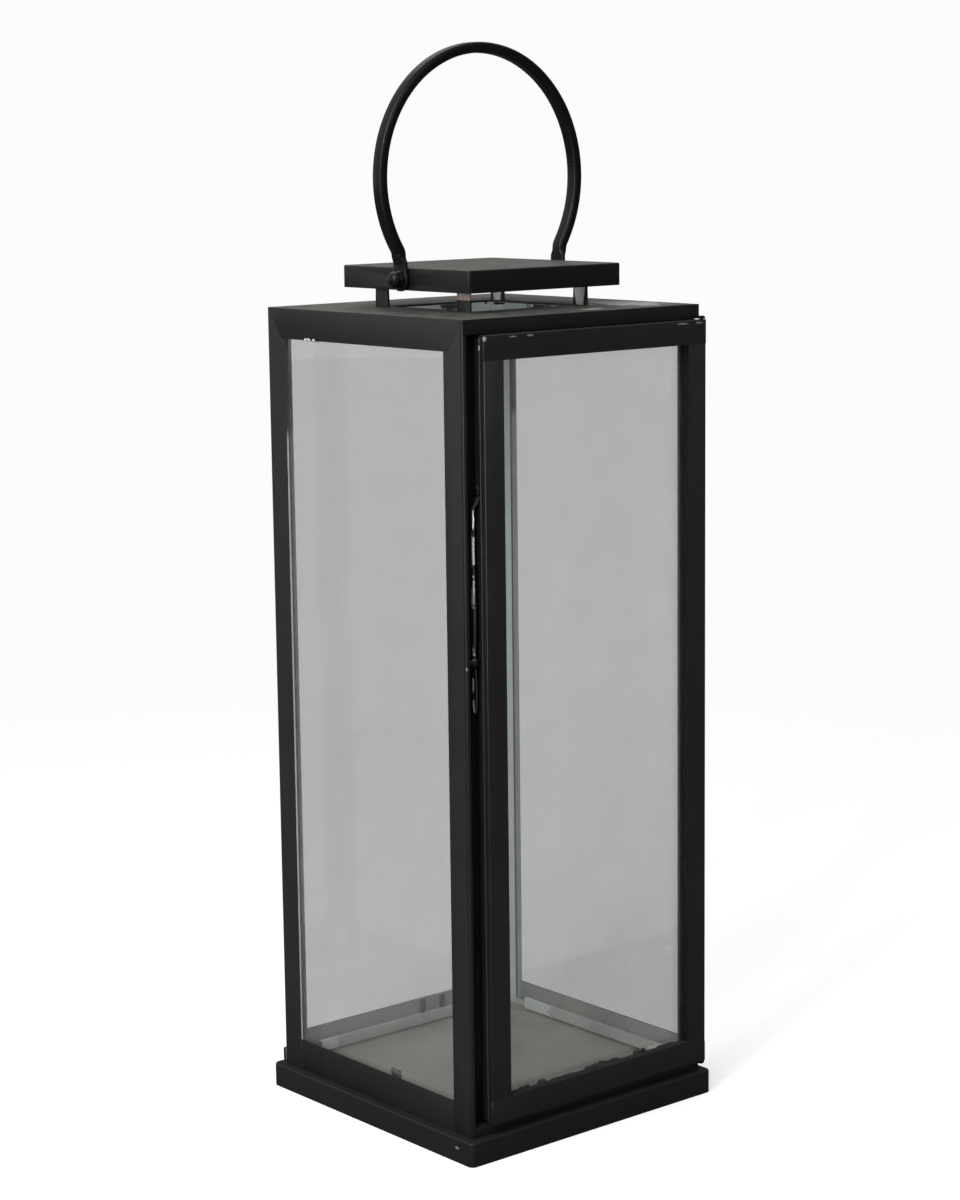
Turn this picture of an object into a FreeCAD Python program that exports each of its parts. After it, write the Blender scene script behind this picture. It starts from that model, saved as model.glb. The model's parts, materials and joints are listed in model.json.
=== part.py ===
import FreeCAD, Part
import math
import os

# Candle lantern, millimetres. +Z is up, the origin is the centre of the base's underside.
# The door is on the -Y side: it hinges at its +X edge and closes against the -X post.

V = FreeCAD.Vector

# ---- driving dimensions ----
SHEET = 1.2               # thickness of the folded sheet steel

PLINTH = 200.0            # width and depth of the base tray
PLINTH_HEIGHT = 15.0
PLINTH_RADIUS = 4.0       # its upright corners
PLINTH_LIP = 15.0         # width of the in-turned lip that the lantern stands on

BODY = 188.0              # width and depth of the glazed body
BODY_TOP = 502.0          # height of the top plate
STILE = 17.5              # width of each post's face
TOP_RAIL = 18.7           # height of the side frames' top rails
BOTTOM_RAIL = 19.5
MITRE_STEP = 3.5          # how far the top rails' mitres start outside the opening
SEAM = 0.12               # open width of a mitre seam

REBATE_HEM = 2.4          # doubled sheet edge of the front left post
REBATE_DEPTH = 7.8        # from the body's front down to the door's stop
STOP_INNER = 72.0         # the latch side's stop reaches in to here
HINGE_STOP_INNER = 89.0   # and the hinge side's narrower one to here
STOP_HEIGHT = 12.0        # height of the stop behind the door's top and bottom rails

DOOR_LEFT = -82.4
DOOR_RIGHT = 95.2
DOOR_BOTTOM = 21.7
DOOR_TOP = 492.8
DOOR_PROUD = 5.0          # how far the door stands in front of the body
DOOR_DEPTH = 12.0
DOOR_STILE = 14.7
DOOR_BOTTOM_RAIL = 15.6
DOOR_GAP = 0.5            # above and below the door
DOOR_REVEAL = 5.95        # from the door's front to its glass

GLASS = 3.0
GLASS_SIDE_OVERLAP = 3.5  # how far the fixed panes reach behind their frames at the sides
GLASS_OVERLAP = 6.0       # at the top
GLASS_FOOT = 12.0         # and at the bottom
GLASS_FIT = 0.1           # between a pane and the sheet in front of it

KNUCKLE_RADIUS = 2.7
UPPER_KNUCKLE = 14.7      # height of each hinge knuckle
LOWER_KNUCKLE = 12.3
HINGE_X = 94.0
EAR_RADIUS = 2.2
PIN_RADIUS = 1.2
RUNNING_FIT = 0.05

VENT = 80.0               # square vent in the top plate
LEG_X = 46.5              # each leg's distance from the centre along X
LEG_Y = 39.0              # and along Y
LEG_WIDTH = 11.0          # at its head
LEG_FOOT_WIDTH = 12.5
LEG_FIT = 0.15            # round a leg in its slot in the top plate
LEG_SHEET = 1.5
CAP = 121.4
CAP_BOTTOM = 514.0
CAP_TOP = 527.5

HANDLE_RADIUS = 77.4      # of the loop's centre line
HANDLE_CENTRE = 580.0     # height of the loop's centre
HANDLE_NECK_RADIUS = 7.0
HANDLE_TAB_X = 64.3       # where the bar's ends run down beside the cap
HANDLE_THICK = 6.6        # across the bar, in the plane of the loop
HANDLE_WIDE = 8.6
HANDLE_CORNER = 2.6
TAB_THICK = 3.0
TAB_WIDE = 11.6
TAB_RISE = 9.0            # from the pivot up to where the bar starts to thicken
TAB_GAP = 0.8             # between the cap's side and the handle's flattened end
PIVOT_HEIGHT = 520.5
BOLT_RADIUS = 2.0

CATCH_HEIGHT = 303.0      # of the catch's knob
SPRING_TOP = 406.0
SPRING_BOTTOM = 272.0
SPRING_WIDE = 4.0
SPRING_SHEET = 0.5
SPRING_X = -85.0          # centre of the spring strip's straight run
KNOB_RADIUS = 4.2

HALF = BODY / 2
INNER = HALF - SHEET      # inner face of the body's sheet walls
OPENING = HALF - STILE    # half width of each glazed opening
TOP_OPENING = BODY_TOP - TOP_RAIL
BOTTOM_OPENING = PLINTH_HEIGHT + BOTTOM_RAIL
STOP_Y = -HALF + REBATE_DEPTH
DOOR_FRONT = -HALF - DOOR_PROUD
DOOR_BACK = DOOR_FRONT + DOOR_DEPTH
HINGE_Y = DOOR_FRONT + KNUCKLE_RADIUS
CATCH_Y = -90.4
RETAINER_TOP = PLINTH_HEIGHT + 10.4
GLASS_BACK = -INNER + GLASS_FIT + GLASS + 0.1     # just behind a pane on the -Y side


# ---- helpers ----
def box(x0, x1, y0, y1, z0, z1):
    return Part.makeBox(x1 - x0, y1 - y0, z1 - z0, V(x0, y0, z0))


def prism(points, direction):
    """Extrude the closed outline through points along direction."""
    outline = Part.makePolygon(points + [points[0]])
    return Part.Face(outline).extrude(direction)


def prism_z(outline, z0, z1):
    return prism([V(x, y, z0) for x, y in outline], V(0, 0, z1 - z0))


def prism_x(outline, x0, x1):
    return prism([V(x0, y, z) for y, z in outline], V(x1 - x0, 0, 0))


def prism_y(outline, y0, y1):
    return prism([V(x, y0, z) for x, z in outline], V(0, y1 - y0, 0))


def rod_x(x0, x1, y, z, radius):
    return Part.makeCylinder(radius, x1 - x0, V(x0, y, z), V(1, 0, 0))


def rod_z(x, y, z0, z1, radius):
    return Part.makeCylinder(radius, z1 - z0, V(x, y, z0), V(0, 0, 1))


def mirror_x(shape):
    return shape.mirror(V(0, 0, 0), V(1, 0, 0))


def turn_z(shape, degrees):
    copy = shape.copy()
    copy.rotate(V(0, 0, 0), V(0, 0, 1), degrees)
    return copy


def round_edges(shape, radius, wanted):
    """Fillet the edges whose two end points both pass the test wanted."""
    edges = [e for e in shape.Edges if all(wanted(v.Point) for v in e.Vertexes)]
    return shape.makeFillet(radius, edges)


def near(value, target):
    return abs(value - target) < 0.01


def export(node, shape):
    if shape.ShapeType == "Compound" and len(shape.Solids) == 1:
        shape = shape.Solids[0]
    if not shape.isValid():
        raise ValueError(node + " is not a valid shape")
    shape.exportStep("parts/" + node + ".step")
    print(node, len(shape.Solids), round(shape.Volume, 1))


# ---- base ----
def base_plinth():
    half = PLINTH / 2
    tray = box(-half, half, -half, half, 0, PLINTH_HEIGHT)
    corner = [e for e in tray.Edges if near(e.Length, PLINTH_HEIGHT)]
    tray = tray.makeFillet(PLINTH_RADIUS, corner)
    tray = round_edges(tray, 1.2, lambda p: near(p.z, PLINTH_HEIGHT))
    tray = round_edges(tray, 0.5, lambda p: near(p.z, 0))
    inside = half - SHEET
    hollow = box(-inside, inside, -inside, inside, SHEET, PLINTH_HEIGHT - SHEET)
    hollow = hollow.makeFillet(PLINTH_RADIUS - SHEET, [e for e in hollow.Edges
                                                       if near(e.Length, PLINTH_HEIGHT - 2 * SHEET)])
    mouth = half - PLINTH_LIP
    underside = box(-mouth, mouth, -mouth, mouth, 0, SHEET)
    return tray.cut(hollow).cut(underside)


def floor_plate():
    side = INNER - 0.2
    return box(-side, side, STOP_Y + SHEET + 0.1, side, PLINTH_HEIGHT, PLINTH_HEIGHT + 2.0)


# ---- body posts ----
def mitre_cutter(margin):
    """The front-facing outline of a top rail, thick enough to cut through a wall on the -Y side."""
    foot = OPENING + MITRE_STEP
    outline = [(-foot - margin, TOP_OPENING - margin), (foot + margin, TOP_OPENING - margin),
               (INNER + margin, BODY_TOP + 0.01), (-INNER - margin, BODY_TOP + 0.01)]
    return prism_y(outline, -HALF - 1, -INNER + 0.01)


def plate_space():
    """What the top plate takes from the front posts' stops."""
    return box(-INNER, INNER, -INNER, INNER, BODY_TOP - SHEET, BODY_TOP + 1)


def side_angle(face):
    """Turn a piece made on the -Y side to the face named."""
    return {"front": 0, "right": 90, "rear": 180, "left": -90}[face]


def rear_post():
    """Rear right post: an angle of folded sheet, rounded along its outer corner."""
    outline = [(HALF, OPENING), (HALF, HALF), (OPENING, HALF), (OPENING, INNER), (INNER, INNER), (INNER, OPENING)]
    post = prism_z(outline, PLINTH_HEIGHT, BODY_TOP)
    post = round_edges(post, 1.0, lambda p: near(p.x, HALF) and near(p.y, HALF))
    for face in ("right", "rear"):
        post = post.cut(turn_z(mitre_cutter(SEAM), side_angle(face)))
    return post


def front_left_post():
    """Z-folded post: a side face, a doubled front hem, and the door's stop at the foot of a rebate."""
    hem = -HALF + REBATE_HEM
    stop_back = STOP_Y + SHEET
    groove = -HALF + 1.5
    outline = [(-HALF, -OPENING), (-HALF, groove + 0.5), (-HALF + 0.8, groove + 0.25), (-HALF, groove),
               (-HALF, -HALF), (hem, -HALF), (hem, STOP_Y), (-STOP_INNER, STOP_Y), (-STOP_INNER, stop_back),
               (-INNER, stop_back), (-INNER, -OPENING)]
    post = prism_z(outline, PLINTH_HEIGHT, BODY_TOP)
    post = round_edges(post, 0.4, lambda p: near(p.y, -HALF))
    return post.cut(turn_z(mitre_cutter(SEAM), side_angle("left"))).cut(plate_space())


def front_right_post():
    """Angle behind the door's hinge side: a side face and the door's stop."""
    stop_back = STOP_Y + SHEET
    outline = [(HALF, -OPENING), (HALF, STOP_Y), (HINGE_STOP_INNER, STOP_Y), (HINGE_STOP_INNER, stop_back),
               (INNER, stop_back), (INNER, -OPENING)]
    post = prism_z(outline, PLINTH_HEIGHT, BODY_TOP)
    return post.cut(turn_z(mitre_cutter(SEAM), side_angle("right"))).cut(plate_space())


# ---- body rails ----
def top_rail(face):
    """Flat side rail with mitred ends."""
    rail = mitre_cutter(0).common(box(-HALF, HALF, -HALF, -INNER, TOP_OPENING, BODY_TOP))
    return turn_z(rail, side_angle(face))


def bottom_rail(face):
    rail = box(-OPENING, OPENING, -HALF, -INNER, PLINTH_HEIGHT, BOTTOM_OPENING)
    return turn_z(rail, side_angle(face))


def rear_bottom_rail():
    """The rear rail's lower edge is doubled and stands proud across the whole back."""
    hem = box(-HALF, HALF, HALF, HALF + 2.8, PLINTH_HEIGHT + 1.4, PLINTH_HEIGHT + 9.4)
    hem = round_edges(hem, 0.6, lambda p: near(p.y, HALF + 2.8))
    return bottom_rail("rear").fuse(hem).removeSplitter()


def front_rail(edge, door_edge, up, posts):
    """Folded rail that closes the frame over or under the door and carries a stop behind it."""
    shelf = door_edge + up * SHEET
    stop_end = door_edge - up * STOP_HEIGHT
    outline = [(-HALF, edge), (-HALF, door_edge), (STOP_Y, door_edge), (STOP_Y, stop_end),
               (STOP_Y + SHEET, stop_end), (STOP_Y + SHEET, shelf), (-INNER, shelf), (-INNER, edge)]
    rail = prism_x(outline, -HALF + REBATE_HEM, INNER)
    end = box(INNER, HALF, -HALF, STOP_Y, min(edge, door_edge), max(edge, door_edge))
    rail = rail.fuse(end.cut(turn_z(mitre_cutter(SEAM), side_angle("right"))))
    for post in posts:
        rail = rail.cut(post)
    return rail.removeSplitter()


def top_plate():
    side = INNER - 0.1
    plate = box(-side, side, -side, side, BODY_TOP - SHEET, BODY_TOP)
    vent = box(-VENT / 2, VENT / 2, -VENT / 2, VENT / 2, BODY_TOP - 2, BODY_TOP + 1)
    vent = vent.makeFillet(2.0, [e for e in vent.Edges if near(e.Length, 3.0)])
    plate = plate.cut(vent)
    reach_x = LEG_SHEET / 2 + LEG_FIT
    reach_y = LEG_FOOT_WIDTH / 2 + LEG_FIT
    for x in (-LEG_X, LEG_X):
        for y in (-LEG_Y, LEG_Y):
            plate = plate.cut(box(x - reach_x, x + reach_x, y - reach_y, y + reach_y, BODY_TOP - 2, BODY_TOP + 1))
    return plate


# ---- fixed glazing ----
def pane(face):
    side = OPENING + GLASS_SIDE_OVERLAP
    front = -INNER + GLASS_FIT
    glass = box(-side, side, front, front + GLASS, BOTTOM_OPENING - GLASS_FOOT, TOP_OPENING + GLASS_OVERLAP)
    return turn_z(glass, side_angle(face))


def pane_retainer(face):
    """Channel along the foot of a pane, with its back open towards the glass."""
    half_length = 68.0
    web = -86.6
    wall = 1.0
    low = PLINTH_HEIGHT + 3.4
    high = RETAINER_TOP
    outline = [(-INNER, low), (web, low), (web, high), (GLASS_BACK, high), (GLASS_BACK, high - wall),
               (web - wall, high - wall), (web - wall, low + wall), (-INNER, low + wall)]
    return turn_z(prism_x(outline, -half_length, half_length), side_angle(face))


def pane_clips(face, bottom_clips, top_clips):
    """Tabs that hold a pane: each lower one is (place along the wall, width, height) and stands
    on the retainer, and each upper one is (place, width) and is bent over the pane's top edge."""
    wall = 1.0
    reach = 6.6
    clips = []
    for place, width, height in bottom_clips:
        clips.append(box(place - width / 2, place + width / 2, GLASS_BACK, GLASS_BACK + wall,
                         RETAINER_TOP, RETAINER_TOP + height))
    edge = TOP_OPENING + GLASS_OVERLAP + 0.2
    outline = [(-INNER, edge + wall), (GLASS_BACK + wall, edge + wall), (GLASS_BACK + wall, edge - reach),
               (GLASS_BACK, edge - reach), (GLASS_BACK, edge), (-INNER, edge)]
    for place, width in top_clips:
        clips.append(prism_x(outline, place - width / 2, place + width / 2))
    return turn_z(Part.makeCompound(clips), side_angle(face))


# ---- cap and its legs ----
def cap_leg(side_x, side_y):
    """Strip that runs down from the inside of the cap through a slot in the top plate.

    Its head is bent in under the cap, and its foot is bent in under the plate."""
    inner = LEG_X - LEG_SHEET / 2
    outer = LEG_X + LEG_SHEET / 2
    under = CAP_TOP - SHEET
    grip = BODY_TOP - SHEET
    low = grip - LEG_SHEET
    outline = [(VENT / 2 + 0.3, low), (outer, low), (outer, under), (inner - 6.0, under),
               (inner - 6.0, under - LEG_SHEET), (inner, under - LEG_SHEET), (inner, grip),
               (VENT / 2 + 0.3, grip)]
    middle = side_y * LEG_Y
    head = LEG_WIDTH / 2
    foot = LEG_FOOT_WIDTH / 2
    strip = prism_y(outline, middle - foot, middle + foot)
    front = [(middle - foot, low), (middle + foot, low), (middle + foot, BODY_TOP), (middle + head, under),
             (middle - head, under), (middle - foot, BODY_TOP)]
    leg = strip.common(prism_x(front, 0, HALF))
    return leg if side_x > 0 else mirror_x(leg)


def cap():
    half = CAP / 2
    shell = box(-half, half, -half, half, CAP_BOTTOM, CAP_TOP)
    shell = shell.makeFillet(3.0, [e for e in shell.Edges if near(e.Length, CAP_TOP - CAP_BOTTOM)])
    shell = round_edges(shell, 1.0, lambda p: near(p.z, CAP_TOP))
    inside = half - SHEET
    hollow = box(-inside, inside, -inside, inside, CAP_BOTTOM - 1, CAP_TOP - SHEET)
    hollow = hollow.makeFillet(3.0 - SHEET, [e for e in hollow.Edges
                                             if near(e.Length, CAP_TOP - CAP_BOTTOM - SHEET + 1)])
    holes = rod_x(-half - 1, half + 1, 0, PIVOT_HEIGHT, BOLT_RADIUS)
    return shell.cut(hollow).cut(holes)


# ---- handle ----
def bar_section(x, z, thick, wide, corner):
    """Rounded rectangle lying flat at a height, centred at x: thick along X and wide along Y."""
    block = Part.makeBox(thick, wide, 1.0, V(x - thick / 2, -wide / 2, z))
    block = block.makeFillet(corner, [e for e in block.Edges if near(e.Length, 1.0)])
    foot = [f for f in block.Faces if near(f.CenterOfMass.z, z)][0]
    return foot.OuterWire


def handle():
    """Loop that narrows to a neck and ends in two flattened tabs beside the cap."""
    reach = HANDLE_TAB_X + HANDLE_NECK_RADIUS
    span = HANDLE_RADIUS + HANDLE_NECK_RADIUS
    neck = HANDLE_CENTRE - math.sqrt(span ** 2 - reach ** 2)
    join_x = reach * HANDLE_RADIUS / span
    join_z = HANDLE_CENTRE - (HANDLE_CENTRE - neck) * HANDLE_RADIUS / span
    bend = math.radians(math.degrees(math.acos(reach / span)) / 2)
    mid_x = reach - HANDLE_NECK_RADIUS * math.cos(bend)
    mid_z = neck + HANDLE_NECK_RADIUS * math.sin(bend)
    tab_x = CAP / 2 + TAB_GAP + TAB_THICK / 2

    right_bend = Part.Arc(V(HANDLE_TAB_X, 0, neck), V(mid_x, 0, mid_z), V(join_x, 0, join_z)).toShape()
    loop = Part.Arc(V(join_x, 0, join_z), V(0, 0, HANDLE_CENTRE + HANDLE_RADIUS), V(-join_x, 0, join_z)).toShape()
    left_bend = Part.Arc(V(-join_x, 0, join_z), V(-mid_x, 0, mid_z), V(-HANDLE_TAB_X, 0, neck)).toShape()
    path = Part.Wire([right_bend, loop, left_bend])
    section = bar_section(HANDLE_TAB_X, neck, HANDLE_THICK, HANDLE_WIDE, HANDLE_CORNER)
    bar = path.makePipeShell([section], True, False)

    tab_low = bar_section(tab_x, PIVOT_HEIGHT + TAB_RISE, TAB_THICK, TAB_WIDE, 1.0)
    tab_high = bar_section(HANDLE_TAB_X, neck, HANDLE_THICK, HANDLE_WIDE, HANDLE_CORNER)
    taper = Part.makeLoft([tab_low, tab_high], True)
    eye = rod_x(tab_x - TAB_THICK / 2, tab_x + TAB_THICK / 2, 0, PIVOT_HEIGHT, 7.0)
    web = box(tab_x - TAB_THICK / 2, tab_x + TAB_THICK / 2, -TAB_WIDE / 2 + 0.4, TAB_WIDE / 2 - 0.4,
              PIVOT_HEIGHT, PIVOT_HEIGHT + TAB_RISE + 0.4)
    end = taper.fuse(eye).fuse(web)
    whole = bar.fuse(end).fuse(mirror_x(end))
    holes = rod_x(-80, 80, 0, PIVOT_HEIGHT, BOLT_RADIUS + RUNNING_FIT)
    return whole.cut(holes).removeSplitter()


def hexagon(across, x0, x1, y, z):
    radius = across / math.sqrt(3)
    corners = [(y + radius * math.cos(math.radians(60 * k)), z + radius * math.sin(math.radians(60 * k)))
               for k in range(6)]
    return prism_x(corners, x0, x1)


def pivot_bolt():
    """Domed bolt on the +X side: its shank runs through the handle's eye and the cap's wall."""
    seat = CAP / 2 + TAB_GAP + TAB_THICK + 0.15
    collar = 3.4
    dome_radius = 5.2
    shank = rod_x(CAP / 2 - 6.4, seat, 0, PIVOT_HEIGHT, BOLT_RADIUS)
    head = hexagon(10.0, seat, seat + collar, 0, PIVOT_HEIGHT)
    dome = Part.makeSphere(dome_radius, V(seat + collar - 1.2, 0, PIVOT_HEIGHT))
    dome = dome.common(box(seat + collar - 0.01, seat + 12, -8, 8, PIVOT_HEIGHT - 8, PIVOT_HEIGHT + 8))
    return shank.fuse(head).fuse(dome).removeSplitter()


def pivot_washer():
    ring = rod_x(CAP / 2, CAP / 2 + TAB_GAP - 0.2, 0, PIVOT_HEIGHT, 4.8)
    return ring.cut(rod_x(CAP / 2 - 1, CAP / 2 + 2, 0, PIVOT_HEIGHT, BOLT_RADIUS))


def pivot_nut():
    face = CAP / 2 - SHEET
    nut = hexagon(7.0, face - 3.2, face, 0, PIVOT_HEIGHT)
    return nut.cut(rod_x(face - 5, face + 1, 0, PIVOT_HEIGHT, BOLT_RADIUS))


def both_sides(shape):
    return Part.makeCompound([shape, mirror_x(shape)])


# ---- door ----
def door_frame():
    """Whole folded door frame: a shallow front pan, a tray behind it and a lip round the glass."""
    low, high = DOOR_BOTTOM, DOOR_TOP
    left, right = DOOR_LEFT, DOOR_RIGHT
    face = DOOR_FRONT + SHEET
    one = SHEET
    two = 2 * SHEET
    window = (left + DOOR_STILE, right - DOOR_STILE, low + DOOR_BOTTOM_RAIL, high - DOOR_STILE)

    pan = box(left, right, DOOR_FRONT, -HALF, low, high)
    rim = [e for e in pan.Edges if all(near(v.Point.y, DOOR_FRONT) for v in e.Vertexes)]
    pan = pan.makeFillet(0.7, rim)
    pan = pan.cut(box(left + one, right - one, face, -HALF + 1, low + one, high - one))
    tray = box(left + one, right - one, face, DOOR_BACK, low + one, high - one)
    tray = tray.cut(box(left + two, right - two, face - 1, DOOR_BACK + 1, low + two, high - two))
    lip = box(window[0] - one, window[1] + one, face, DOOR_FRONT + DOOR_REVEAL, window[2] - one, window[3] + one)
    opening = box(window[0], window[1], DOOR_FRONT - 1, DOOR_BACK + 1, window[2], window[3])
    frame = pan.fuse(tray).fuse(lip).cut(opening)

    for z0, z1 in ((high - UPPER_KNUCKLE, high), (low, low + LOWER_KNUCKLE)):
        frame = frame.fuse(rod_z(HINGE_X, HINGE_Y, z0, z1, KNUCKLE_RADIUS))
    bore = PIN_RADIUS + RUNNING_FIT
    frame = frame.cut(rod_z(HINGE_X, HINGE_Y, low - 1, low + LOWER_KNUCKLE + 2, bore))
    frame = frame.cut(rod_z(HINGE_X, HINGE_Y, high - UPPER_KNUCKLE - 2, high + 1, bore))
    rivet_hole = rod_x(left - 1, left + 4, CATCH_Y, SPRING_TOP - 4.0, 1.25)
    return frame.cut(rivet_hole)


def door_piece(frame, x0, x1, z0, z1):
    piece = frame.common(box(x0, x1, DOOR_FRONT - 1, DOOR_BACK + 1, z0, z1))
    return piece.removeSplitter()


def door_glass():
    side_gap = 6.9
    return box(DOOR_LEFT + side_gap, DOOR_RIGHT - side_gap, DOOR_FRONT + DOOR_REVEAL + 0.05,
               DOOR_FRONT + DOOR_REVEAL + 0.05 + GLASS, DOOR_BOTTOM + 9.0, DOOR_TOP - 7.0)


def door_glass_clips():
    """Flat tabs on the tray's walls that hold the glass against the lip."""
    y0 = DOOR_FRONT + DOOR_REVEAL + GLASS + 0.15
    y1 = y0 + 1.0
    wall = 2 * SHEET
    reach = 10.0
    width = 5.0
    clips = []
    for x in (-45.0, 56.0):
        clips.append(box(x - width, x + width, y0, y1, DOOR_TOP - wall - reach, DOOR_TOP - wall))
        clips.append(box(x - width, x + width, y0, y1, DOOR_BOTTOM + wall, DOOR_BOTTOM + wall + reach))
    for z in (130.0, 370.0):
        clips.append(box(DOOR_LEFT + wall, DOOR_LEFT + wall + reach, y0, y1, z - width, z + width))
        clips.append(box(DOOR_RIGHT - wall - reach, DOOR_RIGHT - wall, y0, y1, z - width, z + width))
    return Part.makeCompound(clips)


# ---- hinge ----
def hinge_ear(z0):
    """Small plate that stands out from the body's front and holds a pin."""
    plate = box(HINGE_X - EAR_RADIUS, HINGE_X, HINGE_Y - EAR_RADIUS, -HALF, z0, z0 + SHEET)
    ear = plate.fuse(rod_z(HINGE_X, HINGE_Y, z0, z0 + SHEET, EAR_RADIUS)).removeSplitter()
    return ear.cut(rod_z(HINGE_X, HINGE_Y, z0 - 1, z0 + SHEET + 1, PIN_RADIUS))


def hinge_pin(z_tip, z_head, up):
    """Pin with a thin rivet head: the shank runs from its tip to the head's seat."""
    head_height = 0.5
    head_radius = 1.7
    shank = rod_z(HINGE_X, HINGE_Y, min(z_tip, z_head), max(z_tip, z_head), PIN_RADIUS)
    z0 = z_head if up > 0 else z_head - head_height
    head = rod_z(HINGE_X, HINGE_Y, z0, z0 + head_height, head_radius)
    return shank.fuse(head).removeSplitter()


# ---- catch ----
def catch_spring():
    """Narrow leaf of spring steel, riveted to the door's side at its upper end."""
    near_side = SPRING_X + SPRING_SHEET / 2
    far_side = SPRING_X - SPRING_SHEET / 2
    wall = DOOR_LEFT + SHEET
    toe = 0.3
    outline = [(wall, SPRING_TOP), (wall, SPRING_TOP - 8.0), (near_side, SPRING_TOP - 12.5),
               (near_side, SPRING_BOTTOM + 4.0), (near_side + toe, SPRING_BOTTOM),
               (far_side + toe, SPRING_BOTTOM), (far_side, SPRING_BOTTOM + 4.0),
               (far_side, SPRING_TOP - 12.7), (wall - SPRING_SHEET, SPRING_TOP - 8.2),
               (wall - SPRING_SHEET, SPRING_TOP)]
    strip = prism_y(outline, CATCH_Y - SPRING_WIDE / 2, CATCH_Y + SPRING_WIDE / 2)
    strip = strip.cut(rod_x(-95, -75, CATCH_Y, SPRING_TOP - 4.0, 1.6))
    return strip.cut(rod_x(-95, -75, CATCH_Y, CATCH_HEIGHT, 1.0))


def catch_rivet():
    """Rivet that leaves the spring's end a little free to tilt."""
    wall = DOOR_LEFT + SHEET
    height = SPRING_TOP - 4.0
    seat = wall - SPRING_SHEET - 0.3
    head = rod_x(seat - 0.9, seat, CATCH_Y, height, 2.4)
    shank = rod_x(seat, wall + SHEET, CATCH_Y, height, 1.25)
    tail = rod_x(wall + SHEET, wall + SHEET + 0.7, CATCH_Y, height, 1.9)
    return head.fuse(shank).fuse(tail).removeSplitter()


def catch_knob():
    """Turned knob with a rounded nose that presses on the front left post."""
    seat = SPRING_X - SPRING_SHEET / 2
    nose = -HALF + REBATE_HEM + 0.35
    outline = [V(seat, 0, 0), V(seat, KNOB_RADIUS - 0.4, 0), V(seat - 0.4, KNOB_RADIUS, 0),
               V(seat - 2.6, KNOB_RADIUS, 0), V(seat - 3.2, KNOB_RADIUS - 0.6, 0),
               V(nose + 1.0, 2.4, 0), V(nose, 1.2, 0), V(nose, 0, 0)]
    knob = Part.Face(Part.makePolygon(outline + [outline[0]])).revolve(V(0, 0, 0), V(1, 0, 0), 360)
    knob.translate(V(0, CATCH_Y, CATCH_HEIGHT))
    shank = rod_x(seat, SPRING_X + SPRING_SHEET / 2, CATCH_Y, CATCH_HEIGHT, 1.0)
    tail = rod_x(SPRING_X + SPRING_SHEET / 2, SPRING_X + SPRING_SHEET / 2 + 0.7, CATCH_Y, CATCH_HEIGHT, 1.8)
    return knob.fuse(shank).fuse(tail).removeSplitter()


def main():
    os.makedirs("parts", exist_ok=True)

    export("base_plinth", base_plinth())
    export("floor_plate", floor_plate())

    left_post = front_left_post()
    right_post = front_right_post()
    export("front_left_post", left_post)
    export("front_right_post", right_post)
    export("rear_right_post", rear_post())
    export("rear_left_post", mirror_x(rear_post()))

    export("front_top_rail", front_rail(BODY_TOP, DOOR_TOP + DOOR_GAP, 1, (left_post, right_post)))
    export("front_bottom_rail", front_rail(PLINTH_HEIGHT, DOOR_BOTTOM - DOOR_GAP, -1, (left_post, right_post)))
    for face in ("left", "right", "rear"):
        export(face + "_top_rail", top_rail(face))
        export(face + "_pane", pane(face))
        export(face + "_pane_retainer", pane_retainer(face))
    for face in ("left", "right"):
        export(face + "_bottom_rail", bottom_rail(face))
    export("rear_bottom_rail", rear_bottom_rail())
    export("top_plate", top_plate())

    # places are measured along each wall, to the right when it is seen from outside
    upper_clips = ((-40.0, 5.0), (40.0, 5.0))
    export("left_pane_clips", pane_clips("left", ((17.0, 9.0, 13.0),), upper_clips))
    export("right_pane_clips", pane_clips("right", (), upper_clips))
    export("rear_pane_clips", pane_clips("rear", ((-18.0, 4.0, 9.0), (-34.7, 4.0, 9.0)), upper_clips))

    for x_name, side_x in (("left", -1), ("right", 1)):
        for y_name, side_y in (("front", -1), ("rear", 1)):
            export("cap_leg_" + y_name + "_" + x_name, cap_leg(side_x, side_y))
    export("cap", cap())
    export("handle", handle())
    export("pivot_bolts", both_sides(pivot_bolt()))
    export("pivot_washers", both_sides(pivot_washer()))
    export("pivot_nuts", both_sides(pivot_nut()))

    frame = door_frame()
    rail_low = DOOR_TOP - DOOR_STILE
    rail_high = DOOR_BOTTOM + DOOR_BOTTOM_RAIL
    export("door_top_rail", door_piece(frame, -90, 100, rail_low, 500))
    export("door_bottom_rail", door_piece(frame, -90, 100, 0, rail_high))
    export("door_latch_stile", door_piece(frame, -90, 0, rail_high, rail_low))
    export("door_hinge_stile", door_piece(frame, 0, 100, rail_high, rail_low))
    export("door_glass", door_glass())
    export("door_glass_clips", door_glass_clips())

    upper_ear = DOOR_TOP + DOOR_GAP
    lower_ear = DOOR_BOTTOM - DOOR_GAP - SHEET
    export("upper_hinge_ear", hinge_ear(upper_ear))
    export("lower_hinge_ear", hinge_ear(lower_ear))
    export("upper_hinge_pin", hinge_pin(DOOR_TOP - UPPER_KNUCKLE - 0.5, upper_ear + SHEET, 1))
    export("lower_hinge_pin", hinge_pin(DOOR_BOTTOM + LOWER_KNUCKLE + 0.5, lower_ear, -1))

    export("catch_spring", catch_spring())
    export("catch_rivet", catch_rivet())
    export("catch_knob", catch_knob())


main()
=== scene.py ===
import json
import math
import random

import bmesh
import bpy
from mathutils import Euler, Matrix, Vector, noise

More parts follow.
